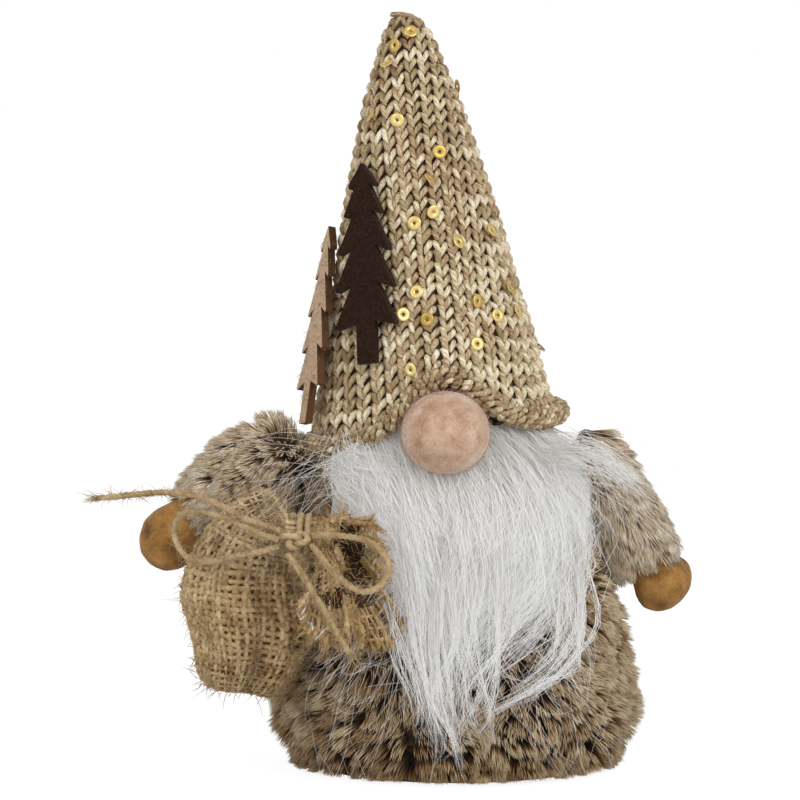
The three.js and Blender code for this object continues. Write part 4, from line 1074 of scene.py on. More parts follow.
def mottled_material(name, sheen, patches, nap, share, stops, strength, distance):
    """Suede or felt in uneven patches of tone. patches and nap are each layer's scale and detail."""
    material, tree, shader = plain_material(name, 0.95, sheen)
    mottled = placed_group(tree, mottle, {
        "Place": tree.nodes.new("ShaderNodeTexCoord").outputs["Object"]}, {
        "Patch Scale": patches[0], "Patch Detail": patches[1], "Nap Scale": nap[0],
        "Nap Detail": nap[1], "Nap Share": share})
    tree.links.new(colour_ramp(tree, mottled.outputs["Tone"], stops), shader.inputs["Base Color"])
    bump(tree, shader, mottled.outputs["Tone"], strength, distance)
    return material


mottle = mottle_group()
suede = mottled_material("mitt_suede", 0.08, (170.0, 5.0), (1600.0, 3.0), 0.35, [
    (0.36, (66, 38, 8)), (0.5, (118, 80, 32)), (0.68, (156, 112, 54)), (0.9, (186, 142, 82))],
    0.5, 0.0004)


def smooth_copy(node, name, finish, body, voxel=0.0008, rounds=8):
    """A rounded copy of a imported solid, remade in small even faces and smoothed."""
    source = bpy.data.objects[node]
    copy = bpy.data.objects.new(name, source.data.copy())
    scene.collection.objects.link(copy)
    copy.matrix_world = source.matrix_world
    remesh = copy.modifiers.new("even_faces", "REMESH")
    remesh.mode = "VOXEL"
    remesh.voxel_size = voxel
    smooth = copy.modifiers.new("rounding", "SMOOTH")
    smooth.factor = 0.5
    smooth.iterations = rounds
    mesh = bpy.data.meshes.new_from_object(
        copy.evaluated_get(bpy.context.evaluated_depsgraph_get()))
    mesh.transform(copy.matrix_world)
    bpy.data.objects.remove(copy)
    mesh.name = name
    mesh.polygons.foreach_set("use_smooth", np.ones(len(mesh.polygons), bool))
    mesh.materials.clear()
    mesh.materials.append(finish)
    piece = bpy.data.objects.new(name, mesh)
    scene.collection.objects.link(piece)
    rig.ride(piece, body)
    return piece


for node, arm_name in (("sack_mitt", "sack_arm"), ("free_mitt", "free_arm")):
    mitt = smooth_copy(node, f"{node}_suede", suede, arm_name)
    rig.slot(mitt, "mitt_suede")
    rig.replaces(mitt, node)
    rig.padded(mitt, fill=0.8)

# Nose: a ball of needle-felted wool, peach with orange-brown mottling, and short loose fibres all
# over it. It's sewn on under the hat's edge.
NOSE_TURN = math.radians(4.6)
NOSE_WIDTH = 0.0234
NOSE_TALL = 0.0218
NOSE_FIBRES = 3200
nose_felt = mottled_material("nose_felt", 0.35, (190.0, 6.0), (1500.0, 4.0), 0.4, [
    (0.45, (160, 116, 86)), (0.58, (184, 146, 118)), (0.74, (202, 170, 145)),
    (0.95, (220, 194, 172))], 0.7, 0.0005)
nose = middle_of("nose_ball")
dice = np.random.default_rng(12)
nose_piece = smooth_copy("nose_ball", "nose_felt_ball", nose_felt, "figure", 0.0007, 10)
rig.slot(nose_piece, "nose_felt")
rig.replaces(nose_piece, "nose_ball")
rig.padded(nose_piece, fill=0.95)
way = unit(dice.normal(size=(NOSE_FIBRES, 3)))
root = nose + way * np.array([NOSE_WIDTH, NOSE_WIDTH * 0.97, NOSE_TALL]) / 2 * 0.975
lying = unit(np.cross(way, dice.normal(size=way.shape)))
reach = dice.uniform(0.0007, 0.0021, NOSE_FIBRES)
nose_wisps = fur_material("nose_wisps", [
    (0.0, (172, 130, 100)), (0.5, (200, 166, 140)), (1.0, (224, 198, 176))])
planted("nose_fibres", "figure", "nose_felt", root, way * 0.85 + lying, way,
        np.column_stack([0.0022 + 0 * reach, reach, reach]), dice.uniform(0, 1, NOSE_FIBRES),
        fibre_strand, nose_wisps)

# Hat: hand-knitted in plain stitches of tan yarn and rows of cream yarn, sewn up the back and
# stuffed to a cone. Each stitch is two bent legs of yarn over the inside, which is painted dark
# brown as painted shade in the gaps between the stitches.
HAT_WIDTH = 0.0675
HAT_DEPTH = 0.062
HAT_TALL = 0.106
HAT_WALL = 0.0024
BRIM_ROLL = 0.005
BRIM_SLOPE = math.tan(math.radians(7.4))
BRIM_PUSH = 0.0036
BRIM_SPREAD = math.radians(18)
BRIM_DROP = 0.0026
HAT_PLACES = [0, 0.06, 0.104, 0.208, 0.302, 0.406, 0.5, 0.594, 0.698, 0.792, 0.849, 0.915, 0.962,
              0.99, 1]
HAT_SHARES = [0.975, 0.905, 0.873, 0.818, 0.741, 0.673, 0.611, 0.537, 0.451, 0.368, 0.302, 0.232,
              0.173, 0.1, 0.02]
HAT_TIP = BODY_HEIGHT + HAT_TALL
roll_radius = BRIM_ROLL / 2
roll_front = -(HAT_DEPTH / 2 - HAT_WALL + roll_radius + BRIM_PUSH)
nose_to_roll = NOSE_TALL / 2 + roll_radius + 2 * PIECE_GAP
brim_over_nose = nose[2] + math.sqrt(nose_to_roll ** 2 - (roll_front - nose[1]) ** 2)
brim_lift = brim_over_nose - BODY_HEIGHT + BRIM_DROP - BRIM_SLOPE * nose[0]


def nose_nearness(turn):
    """How near a turn is to the nose, from 0 to 1."""
    away = np.arctan2(np.sin(turn - NOSE_TURN), np.cos(turn - NOSE_TURN))
    return np.exp(-0.5 * (away / BRIM_SPREAD) ** 2)


def brim_height(turn):
    """Height of the middle of the rolled edge, which rises over the nose."""
    x = lean_at(BODY_HEIGHT) + HAT_WIDTH / 2 * np.sin(turn)
    return BODY_HEIGHT - BRIM_DROP + BRIM_SLOPE * x + brim_lift * nose_nearness(turn)


def hat_skin(turn, height, out):
    """Points of the hat's outline, or a little outside it."""
    share = np.interp((height - BODY_HEIGHT) / HAT_TALL, HAT_PLACES, HAT_SHARES)
    push = BRIM_PUSH * nose_nearness(turn) * np.exp((brim_height(turn) - height) / (HAT_WIDTH / 4))
    return np.stack([lean_at(height) + (HAT_WIDTH / 2 * share + out) * np.sin(turn),
                     -(HAT_DEPTH / 2 * share + out) * np.cos(turn) - push,
                     height + 0 * turn], axis=-1)


def roll_point(turn, angle, radius):
    """Points of the rolled edge: an angle of 0 faces outwards and 90 degrees faces up."""
    centre = hat_skin(turn, brim_height(turn), -HAT_WALL / 2)
    out = roll_radius - HAT_WALL / 2 + radius * np.cos(angle)
    return centre + np.stack([out * np.sin(turn), -out * np.cos(turn),
                              radius * np.sin(angle) + 0 * turn], axis=-1)


# painted shade: the inside is darker than the yarn, to stand for the shade in the gaps between stitches and under the
# roll
hat_inside = yarn_material("hat_inside", [
    (0.0, (52, 36, 20)), (0.5, (84, 63, 39)), (1.0, (116, 92, 62))])
hat_turns = np.linspace(0, 2 * np.pi, 72, endpoint=False)
inner_rings = [roll_point(hat_turns, math.radians(angle), roll_radius - 0.0006)
               for angle in (180, 225, 270, 315, 0, 40, 75)]
for share in np.linspace(0.045, 0.992, 40):
    low = brim_height(hat_turns)
    inner_rings.append(hat_skin(hat_turns, low + share * (HAT_TIP - low),
                                -0.0013 * min(1, (1 - share) * 18)))
hat_core = ring_shell("hat_inside", inner_rings, hat_inside, "figure")
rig.slot(hat_core, "knit_yarn")
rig.replaces(hat_core, "hat_knit")
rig.padded(hat_core, fill=0.8)

WALE_PITCH_LOW = 0.0050
WALE_PITCH_TOP = 0.0037
COURSE_PITCH = 0.0032
LEG_SIDES = 8
LEG_RINGS = 4


def leg_shape():
    """One leg of a stitch: a bent drop of yarn with buried ends, thickest above its middle. Its
    along value tells the two twisted strands apart."""
    angles = np.arange(LEG_SIDES) * 2 * np.pi / LEG_SIDES
    points, strands = [(-0.5, 0, -0.5)], [0.3]
    for level in np.linspace(-0.45, 0.46, LEG_RINGS):
        reach = 0.5 * (1 - abs((level - 0.1) * 1.8) ** 2.4 * 0.7)
        ply = 1 - 0.16 * (1 - np.abs(np.cos(angles + 3.4 * level)))
        out = 0.4 * math.cos(math.pi * level) - 0.28
        sway = 0.12 * math.sin(2 * math.pi * level)
        points += [(out + reach * p * math.cos(a), sway + reach * p * math.sin(a), level)
                   for a, p in zip(angles, ply)]
        strands += list(0.5 + 0.5 * np.cos(angles + 3.4 * level - 0.9))
    points.append((-0.5, 0, 0.5))
    strands.append(0.3)
    last = 1 + (LEG_RINGS - 1) * LEG_SIDES
    faces = [(0, 1 + (i + 1) % LEG_SIDES, 1 + i) for i in range(LEG_SIDES)]
    for r in range(LEG_RINGS - 1):
        low = 1 + r * LEG_SIDES
        faces += [(low + i, low + (i + 1) % LEG_SIDES, low + LEG_SIDES + (i + 1) % LEG_SIDES,
                   low + LEG_SIDES + i) for i in range(LEG_SIDES)]
    faces += [(last + i, last + (i + 1) % LEG_SIDES, len(points) - 1) for i in range(LEG_SIDES)]
    mesh = bpy.data.meshes.new("stitch_leg")
    mesh.from_pydata(points, [], faces)
    mesh.polygons.foreach_set("use_smooth", np.ones(len(faces), bool))
    layer = mesh.attributes.new("along", "FLOAT", "POINT")
    layer.data.foreach_set("value", np.array(strands, np.float32))
    return hidden_shape("stitch_leg", mesh)


def marled_yarn(name, stops, grain):
    """Knitting yarn of tan wool and a cream strand, which show as streaks along each leg, more of
    one or the other from stitch to stitch."""
    material, tree, shader = plain_material(name, 0.6)
    chart = tree.nodes.new("ShaderNodeUVMap")
    chart.uv_map = "OFBake"
    split = tree.nodes.new("ShaderNodeSeparateXYZ")
    tree.links.new(chart.outputs["UV"], split.inputs["Vector"])
    where = tree.nodes.new("ShaderNodeTexCoord").outputs["Object"]
    fibres = noise(tree, where, grain, 3.0)
    streaks = noise(tree, chart.outputs["UV"], 1.0, 2.0, (47.0, 3.6, 1.0))
    total = multiply_add(tree, split.outputs["X"], 0.34, streaks)
    even = tree.nodes.new("ShaderNodeMapRange")
    even.inputs["From Min"].default_value = 0.5
    even.inputs["From Max"].default_value = 1.22
    tree.links.new(multiply_add(tree, fibres, 0.35, total), even.inputs["Value"])
    tree.links.new(colour_ramp(tree, even.outputs["Result"], stops), shader.inputs["Base Color"])
    bump(tree, shader, fibres, 0.6, 0.00025)
    return material


knit_yarn = marled_yarn("knit_yarn", [
    (0.0, (96, 70, 38)), (0.25, (145, 118, 82)), (0.5, (179, 155, 119)), (0.68, (212, 193, 156)),
    (0.82, (240, 230, 204)), (1.0, (252, 248, 236))], 1300.0)
stitch_leg = leg_shape()
dice = np.random.default_rng(21)
course_count = int(round(HAT_TALL / COURSE_PITCH))
fine_turns = np.linspace(-np.pi, np.pi, 721)


def wale_ring(share):
    """The hat's outline at a share of the way up: its points and how far each is from the front."""
    low = brim_height(fine_turns)
    ring = hat_skin(fine_turns, low + share * (HAT_TIP - low), 0)
    reach = np.concatenate([[0], np.cumsum(np.linalg.norm(np.diff(ring, axis=0), axis=1))])
    return ring, reach - np.interp(0.0, fine_turns, reach)


def wale_pitch(share):
    """Distance from one column of stitches to the next at a share of the way up."""
    return WALE_PITCH_LOW + (WALE_PITCH_TOP - WALE_PITCH_LOW) * share


legs, seam = [], []
for course in range(course_count):
    share = (course + 1.05) / (course_count + 0.6)
    pitch = wale_pitch(share)
    reach = wale_ring(share)[1]
    above, above_reach = wale_ring(share + 0.012)
    below, below_reach = wale_ring(share - 0.012)
    row_tone = 0.3 if course % 2 else -0.16
    half_count = int((reach[-1] - 0.3 * pitch) / pitch)
    half_gap = reach[-1] - (half_count + 0.5) * pitch
    seam += [(share + step, half_gap) for step in (0, 0.5 / course_count)]
    for wale in range(-half_count, half_count + 1):
        high_at = wale * wale_pitch(share + 0.012)
        low_at = wale * wale_pitch(share - 0.012)
        rise = np.array([np.interp(high_at, above_reach, above[:, k])
                         - np.interp(low_at, below_reach, below[:, k]) for k in range(3)])
        stitch_tone = dice.normal() * 0.14
        for side in (-1, 1):
            at = wale * pitch + side * 0.215 * pitch + dice.normal() * 0.00010
            turn = float(np.interp(at, reach, fine_turns))
            # painted light: legs on the right side and low on the hat are paler
            lit = np.clip(1.3 * turn + 0.2, 0, 1) * np.clip(2 - 3.6 * share, 0, 1)
            marl = row_tone * (0.85 + 0.25 * math.cos(2.2 * turn + 1.7 * course))
            tone = 0.54 + marl + stitch_tone + 0.26 * lit + dice.normal() * 0.14
            legs.append((turn, share, side, pitch, *rise, tone))
turn, share, side, pitch, rise_x, rise_y, rise_z, tone = np.array(legs).T
low = brim_height(turn)
height = low + share * (HAT_TIP - low) + dice.normal(size=len(turn)) * 0.00012
root, across, up, outwards = skin_axes(hat_skin, turn, height, -0.0004)
rise = np.stack([rise_x, rise_y, rise_z], axis=-1)
rise = unit(rise - outwards * np.sum(rise * outwards, axis=1, keepdims=True))
beside = np.cross(rise, outwards)
slant = np.radians(23 + 4 * dice.normal(size=len(turn)))
way = (rise * np.cos(slant)[:, None] + beside * (side * np.sin(slant))[:, None]
       - outwards * 0.2)
row_pitch = (HAT_TIP - low) / (course_count + 0.6) / 0.955
size = np.column_stack([0.0018 + 0 * turn, 0.0020 * (pitch / WALE_PITCH_LOW) ** 0.8,
                        row_pitch * 1.5]) * dice.uniform(0.92, 1.08, (len(turn), 1))
planted("hat_stitches", "figure", "knit_yarn", root, way, outwards, size, np.clip(tone, 0, 1),
        stitch_leg, knit_yarn)
share, half_gap = np.array(seam).T
turn = np.pi + dice.normal(size=len(share)) * 0.012
low = brim_height(turn)
root, across, up, outwards = skin_axes(hat_skin, turn, low + share * (HAT_TIP - low), -0.0001)
way = across + up * (0.3 + 0.12 * dice.normal(size=len(share)))[:, None]
size = np.column_stack([0.0017 + 0 * share, 0.0021 + 0 * share, 2 * half_gap + 0.0042])
planted("hat_seam", "figure", "knit_yarn", root, way, outwards, size,
        np.clip(0.4 + 0.2 * dice.normal(size=len(share)), 0, 1), stitch_leg, knit_yarn)

# Rolled edge of the hat: the knit turned over so that its wrong side shows, short bars of yarn in
# staggered rows round the roll.
BAR_PITCH = 0.0026
bars = []
for row, angle in enumerate(range(-120, 100, 33)):
    ring = roll_point(fine_turns, math.radians(angle), roll_radius)
    reach = np.concatenate([[0], np.cumsum(np.linalg.norm(np.diff(ring, axis=0), axis=1))])
    count = int(round(reach[-1] / BAR_PITCH))
    for i in range(count):
        at = (i + 0.5 * (row % 2)) / count * reach[-1]
        bars.append((float(np.interp(at, reach, fine_turns)), math.radians(angle)))
turn, angle = np.array(bars).T
turn = turn + dice.normal(size=len(turn)) * 0.005
root = roll_point(turn, angle, roll_radius - 0.0002)
across = unit(roll_point(turn + 0.01, angle, roll_radius) - roll_point(turn - 0.01, angle, roll_radius))
outwards = unit(root - roll_point(turn, angle, 0 * angle))
round_way = np.cross(outwards, across)
way = across * 0.62 + round_way * (0.8 + dice.normal(size=len(turn)) * 0.2)[:, None]
size = np.array([0.0018, 0.0017, 0.0031]) * dice.uniform(0.88, 1.12, (len(turn), 1))
planted("hat_roll", "figure", "knit_yarn", root, way, outwards, size,
        np.clip(0.45 + 0.25 * dice.normal(size=len(turn)), 0, 1), stitch_leg, knit_yarn)

# Sequins: thin gold rings, slightly cupped, each sewn flat on the knit by a stitch through its hole.
SEQUIN_SIZE = 0.0037
SEQUIN_HOLE_SHARE = 0.24
SEQUINS = [
    (8, 0.962), (-25, 0.928), (-37, 0.882), (-17, 0.744), (-50, 0.752), (21, 0.666), (9, 0.6),
    (9, 0.519), (-5, 0.492), (24, 0.445), (55, 0.47), (-6, 0.325), (-14, 0.269), (-1, 0.258),
    (30, 0.3), (60, 0.323), (42, 0.263), (61, 0.269), (25, 0.197), (-11, 0.136),
]
BACK_SEQUINS = 8


def sequin_shape():
    """A cupped ring of thin foil, of diameter 1, with its hole, facing +Z."""
    sides = 16
    profile = [(SEQUIN_HOLE_SHARE / 2, 0.05), (0.34, 0.05), (0.5, 0.06), (0.5, 0.035), (0.34, 0.02),
               (SEQUIN_HOLE_SHARE / 2, 0.02)]
    points = []
    for reach, rise in profile:
        points += [(reach * math.cos(a), reach * math.sin(a), rise)
                   for a in np.arange(sides) * 2 * np.pi / sides]
    faces = []
    for r in range(len(profile)):
        low, high = r * sides, (r + 1) % len(profile) * sides
        faces += [(low + i, low + (i + 1) % sides, high + (i + 1) % sides, high + i)
                  for i in range(sides)]
    mesh = bpy.data.meshes.new("sequin_ring")
    mesh.from_pydata(points, [], faces)
    mesh.polygons.foreach_set("use_smooth", np.ones(len(faces), bool))
    return hidden_shape("sequin_ring", mesh)


gold, gold_tree, gold_shader = plain_material("gold_sequin", 0.34, 0.0, 0.55)
gold_tone = gold_tree.nodes.new("ShaderNodeAttribute")
gold_tone.attribute_name = "tone"
gold_colour = colour_ramp(gold_tree, gold_tone.outputs["Fac"], [
    (0.0, (150, 104, 42)), (0.3, (222, 184, 98)), (1.0, (252, 226, 150))])
gold_tree.links.new(gold_colour, gold_shader.inputs["Base Color"])
places = np.array(SEQUINS + [
    (180 + (i * 137.5) % 160 - 80, 0.12 + 0.75 * (i + 0.5) / BACK_SEQUINS)
    for i in range(BACK_SEQUINS)])
turn = np.radians(places[:, 0])
root, across, up, outwards = skin_axes(hat_skin, turn, BODY_HEIGHT + HAT_TALL * places[:, 1], 0.0011)
sequins = planted("sequins", "figure", "gold_sequin", root,
                  outwards + dice.normal(size=root.shape) * 0.3, up,
                  np.full((len(root), 3), SEQUIN_SIZE), dice.uniform(0.2, 1, len(root)),
                  sequin_shape(), gold)
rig.replaces(sequins, *[f"sequin_{i + 1:02d}" for i in range(len(places))])

# Trees: two fir trees cut from stiff pressed felt and glued on, one dark brown and one beige whose
# cut edges are scorched. Their corners are a little rounded and short fibres stand off their faces.
def fine_grain_group():
    """Fine even grain, as of matted fibres."""
    group, given, result = shader_group("fine_grain", [
        ("Place", "NodeSocketVector"), ("Scale", "NodeSocketFloat"), ("Detail", "NodeSocketFloat")],
        ["Grain"])
    grain = noise(group, given.outputs["Place"], 1.0)
    for socket_name in ("Scale", "Detail"):
        group.links.new(given.outputs[socket_name], grain.node.inputs[socket_name])
    group.links.new(grain, result.inputs["Grain"])
    return group


def pressed_felt(name, stops, scorch=None):
    """Matted fibres in a mottled tone, browned on the faces that look sideways if scorched."""
    material, tree, shader = plain_material(name, 1.0, 0.1)
    shader.inputs["Specular IOR Level"].default_value = 0.1
    surface = tree.nodes.new("ShaderNodeTexCoord")
    matting = placed_group(tree, fine_grain, {"Place": surface.outputs["Object"]},
                           {"Scale": 1500.0, "Detail": 6.0}).outputs["Grain"]
    colour = colour_ramp(tree, matting, stops)
    if scorch:
        way, burnt = scorch
        facing = tree.nodes.new("ShaderNodeVectorMath")
        facing.operation = "DOT_PRODUCT"
        facing.inputs[1].default_value = way
        tree.links.new(surface.outputs["Normal"], facing.inputs[0])
        amount = tree.nodes.new("ShaderNodeMath")
        amount.operation = "ABSOLUTE"
        tree.links.new(facing.outputs["Value"], amount.inputs[0])
        edge = tree.nodes.new("ShaderNodeMapRange")
        edge.inputs["From Min"].default_value = 0.75
        edge.inputs["From Max"].default_value = 0.35
        tree.links.new(amount.outputs["Value"], edge.inputs["Value"])
        browned = tree.nodes.new("ShaderNodeMix")
        browned.data_type = "RGBA"
        browned.inputs["B"].default_value = (*[linear(c) for c in burnt], 1)
        tree.links.new(edge.outputs["Result"], browned.inputs["Factor"])
        tree.links.new(colour, browned.inputs["A"])
        colour = browned.outputs["Result"]
    tree.links.new(colour, shader.inputs["Base Color"])
    bump(tree, shader, matting, 0.8, 0.0004)
    return material


def finish_node(node, finish, slot):
    """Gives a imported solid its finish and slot."""
    piece = bpy.data.objects[node]
    piece.data.materials.clear()
    piece.data.materials.append(finish)
    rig.slot(piece, slot)


def rounded_node(node, finish, width, slot):
    """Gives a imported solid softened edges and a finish."""
    piece = bpy.data.objects[node]
    bevel = piece.modifiers.new("softened_edges", "BEVEL")
    bevel.width = width
    bevel.segments = 2
    bevel.limit_method = "ANGLE"
    finish_node(node, finish, slot)


def broad_side(node):
    """The way that the broad faces of a flat piece look."""
    mesh = bpy.data.objects[node].data
    normals = np.empty(3 * len(mesh.polygons))
    areas = np.empty(len(mesh.polygons))
    mesh.polygons.foreach_get("normal", normals)
    mesh.polygons.foreach_get("area", areas)
    normals = normals.reshape(-1, 3)
    spread = (normals * areas[:, None]).T @ normals
    return tuple(np.linalg.eigh(spread)[1][:, -1])


TREE_LINT = 420
TREE_ROUNDING = 0.0004
fine_grain = fine_grain_group()
dark_felt = pressed_felt("dark_felt", [
    (0.3, (30, 14, 6)), (0.5, (42, 22, 12)), (0.7, (60, 36, 23))])
light_felt = pressed_felt("light_felt", [
    (0.3, (166, 136, 106)), (0.5, (194, 164, 132)), (0.7, (216, 191, 162))],
    (broad_side("tree_light"), (92, 63, 40)))
lint_dice = np.random.default_rng(29)
for node, finish, slot in (("tree_dark", dark_felt, "dark_felt"),
                           ("tree_light", light_felt, "light_felt")):
    rounded_node(node, finish, TREE_ROUNDING, slot)
    mesh = bpy.data.objects[node].data
    mesh.calc_loop_triangles()
    corners = np.array([[mesh.vertices[i].co[:] for i in face.vertices]
                        for face in mesh.loop_triangles])
    outwards = np.array([face.normal[:] for face in mesh.loop_triangles])
    areas = np.array([face.area for face in mesh.loop_triangles])
    chosen = lint_dice.choice(len(areas), TREE_LINT, p=areas / areas.sum())
    mix = lint_dice.dirichlet((1, 1, 1), TREE_LINT)
    starts = np.einsum("ij,ijk->ik", mix, corners[chosen])
    lint = []
    for start, out in zip(starts, outwards[chosen]):
        along = unit(np.cross(out, lint_dice.normal(size=3)))
        share = np.linspace(0, 1, 4)[:, None]
        lint.append(start + 0.0016 * along * share + out * 0.0007 * np.sin(2.4 * share)
                    + lint_dice.normal(size=3) * 0.0003 * share)
    hair_piece(f"{node}_lint", "figure", slot, lint, 0.00005,
               lint_dice.uniform(0, 1, TREE_LINT), finish)

# Beard: a strip of long white pile under the hat's edge. Its locks hang over the body: the left ones
# sweep to a wisp in the middle, the right ones hang straight and curl in at the bottom.
BEARD_SPAN = math.radians(66)
BEARD_LOCKS = 60
BEARD_TUFTS = 7
BEARD_STRANDS = 6900
BEARD_UNDER = 1100
BEARD_WISPS = [
    ([(0.0325, 0.066), (0.0325, 0.044), (0.0285, 0.0325), (0.018, 0.0255), (0.003, 0.0185)], 60, 0.0034),
    ([(0.030, 0.060), (0.029, 0.046), (0.024, 0.034), (0.012, 0.026)], 40, 0.0036),
    ([(0.026, 0.066), (0.028, 0.046), (0.031, 0.034), (0.037, 0.018)], 26, 0.0050),
    ([(-0.003, 0.066), (-0.0050, 0.042), (-0.0040, 0.026), (-0.001, 0.015), (0.0015, 0.003)], 80, 0.0028),
    ([(-0.012, 0.062), (-0.010, 0.040), (-0.006, 0.024), (-0.004, 0.012), (-0.007, 0.003)], 60, 0.0034),
    ([(0.012, 0.064), (0.012, 0.044), (0.007, 0.028), (0.002, 0.018), (-0.003, 0.008)], 46, 0.0046),
    ([(0.004, 0.064), (0.002, 0.044), (0.006, 0.024), (0.010, 0.010)], 40, 0.0048),
    ([(-0.016, 0.052), (-0.013, 0.036), (-0.010, 0.022), (-0.012, 0.008)], 30, 0.0040),
]
LOCK_U = [-1, -0.8, -0.6, -0.4, -0.2, 0, 0.2, 0.4, 0.6, 0.8, 1]
LOCK_END_X = [-0.018, -0.015, -0.011, -0.006, -0.003, 0.001, 0.005, 0.011, 0.017, 0.022, 0.027]
LOCK_END_Z = [0.060, 0.040, 0.022, 0.007, 0.004, 0.009, 0.015, 0.0185, 0.019, 0.023, 0.030]
LOCK_BELLY_X = [-0.029, -0.023, -0.016, -0.010, -0.004, 0.004, 0.012, 0.019, 0.0255, 0.0315, 0.0345]


def over_body(x, z, out):
    """Points on the front of the body at a place seen from the front, and a distance off it."""
    share = np.interp((z - HEM_HEIGHT) / (BODY_HEIGHT - HEM_HEIGHT), BODY_PLACES, BODY_SHARES)
    side = np.clip((x - lean_at(z)) / (BODY_WIDTH / 2 * share + out), -0.985, 0.985)
    return np.stack([x, -(BODY_DEPTH / 2 * share + out) * np.sqrt(1 - side ** 2), z], axis=-1)


def beard_lines(count, dice, outs, shortest, points):
    """Strands of the beard from its roots to its tips, with the tone of each. Strands draw together
    in tufts and tufts in locks, but one in eight strays. The shortest reach a share of the way."""
    lock_u = np.clip(np.linspace(-1, 1, BEARD_LOCKS) + dice.normal(size=BEARD_LOCKS) * 0.02, -1, 1)
    share = np.linspace(0, 1, points)
    locks = []
    for u in lock_u:
        lock = {
            "u": u, "phase": dice.uniform(0, 2 * np.pi), "wave": dice.uniform(0.0005, 0.0024),
            "turns": dice.uniform(6, 12), "out": dice.uniform(0, 1),
            "end_x": np.interp(u, LOCK_U, LOCK_END_X) + dice.normal() * 0.0028,
            "end_z": np.interp(u, LOCK_U, LOCK_END_Z) * dice.uniform(0.94, 1.35),
            "belly_x": np.interp(u, LOCK_U, LOCK_BELLY_X) + dice.normal() * 0.0016,
            "reach": dice.uniform(0.7, 1),
        }
        lock["tufts"] = [{
            "u": dice.normal() * 0.030, "x": dice.normal() * 0.0030,
            "z": abs(dice.normal()) * 0.006, "belly": dice.normal() * 0.0015,
            "out": dice.normal() * 0.3, "tone": dice.normal() * 0.22,
            "phase": dice.normal() * 0.7} for _ in range(BEARD_TUFTS)]
        locks.append(lock)
    lines, tones = [], []
    for _ in range(count):
        lock = locks[dice.integers(BEARD_LOCKS)]
        tuft = lock["tufts"][dice.integers(BEARD_TUFTS)]
        loose = 5.0 if dice.uniform() < 0.125 else 1.0
        u = np.clip(lock["u"] + tuft["u"] + dice.normal() * 0.016, -1, 1)
        start_z = dice.uniform(0.082, 0.0935)
        start = body_skin(np.array(u * BEARD_SPAN + NOSE_TURN * 0.4), np.array(start_z), 0.0015)
        end_x = lock["end_x"] + tuft["x"] + dice.normal() * 0.0005 * loose
        end_z = lock["end_z"] + tuft["z"] + dice.normal() * 0.0012 * loose
        grown = shortest + (1 - shortest) * dice.uniform() ** 2.2
        end_z = max(start_z + (end_z - start_z) * lock["reach"] * grown, 0.003)
        mid_x = lock["belly_x"] + tuft["belly"] + dice.normal() * 0.0007 * loose
        mid_z = end_z + 0.36 * (start_z - end_z)
        high_x = start[0] + 0.42 * (mid_x - start[0]) + dice.normal() * 0.0005 * loose
        high_z = start_z + 0.34 * (mid_z - start_z)
        route = smooth_route([(start[0], 0, start_z), (high_x, 0, high_z), (mid_x, 0, mid_z),
                              (end_x, 0, end_z)], 0.001)
        at = share * (len(route) - 1)
        x = np.interp(at, np.arange(len(route)), route[:, 0])
        z = np.interp(at, np.arange(len(route)), route[:, 2])
        wave = share ** 1.3 * (lock["wave"] * np.sin(lock["phase"] + tuft["phase"]
                                                     + lock["turns"] * share)
                               + dice.normal() * 0.0003 * loose * np.sin(dice.uniform(0, 6)
                                                                         + 14 * share))
        profile = np.interp(share, [0, 0.12, 0.45, 0.85, 1], [0.25, 0.7, 1, 0.85, 0.7])
        curl = 0.008 * np.clip(2.2 * u, 0, 1) * share ** 5
        level = np.clip(0.6 * lock["out"] + tuft["out"] + 0.22 * dice.uniform(), 0, 1.1)
        out = 0.0012 + (outs[0] + (outs[1] - outs[0]) * level) * profile
        lines.append(over_body(x + wave - curl, z, out))
        tones.append(np.clip(0.5 + tuft["tone"] + 0.15 * dice.normal(), 0, 1))
    return lines, tones


beard_hair = fur_material("beard_hair", [
    (0.0, (204, 200, 194)), (0.3, (238, 236, 233)), (0.7, (251, 251, 250)), (1.0, (254, 254, 254))],
    0.5, 0.15)
# painted light: the beard hair glows faintly white so that it reads as brightly lit
beard_shader = beard_hair.node_tree.nodes["Principled BSDF"]
beard_shader.inputs["Emission Color"].default_value = (1, 1, 1, 1)
beard_shader.inputs["Emission Strength"].default_value = 0.08
beard_dice = np.random.default_rng(77)
lines, tones = beard_lines(BEARD_UNDER, beard_dice, (0.0002, 0.0022), 0.3, 8)
# painted shade: the under hair takes only the greyer half of the ramp, as shade between the locks
under_piece = hair_piece("beard_underhair", "figure", "beard_fur", lines, 0.00024,
                         np.array(tones) * 0.5, beard_hair)
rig.replaces(under_piece, "beard_pile")
for i in range(3):
    lines, tones = beard_lines(BEARD_STRANDS // 3, beard_dice, (0.001, 0.0100), 0.42, 10)
    hair_piece(f"beard_locks_{i + 1}", "figure", "beard_fur", lines, 0.000085, tones, beard_hair)
wisp_lines = []
for points, count, spread in BEARD_WISPS:
    tufts = [beard_dice.normal(size=(len(points), 2)) * spread * 0.5 for _ in range(9)]
    for _ in range(count):
        moved = (np.array(points) + tufts[beard_dice.integers(9)]
                 + beard_dice.normal(size=(len(points), 2)) * spread * 0.16)
        route = smooth_route([(x, 0, max(z, 0.002)) for x, z in moved], 0.0042)
        route = route[:int(len(route) * beard_dice.uniform(0.7, 1.001))]
        share = np.linspace(0, 1, len(route))
        out = 0.0070 + beard_dice.uniform(0, 0.003) + 0.0015 * np.sin(3 * share)
        wisp_lines.append(over_body(route[:, 0], route[:, 2], out))
SHOULDER_WISP = 84
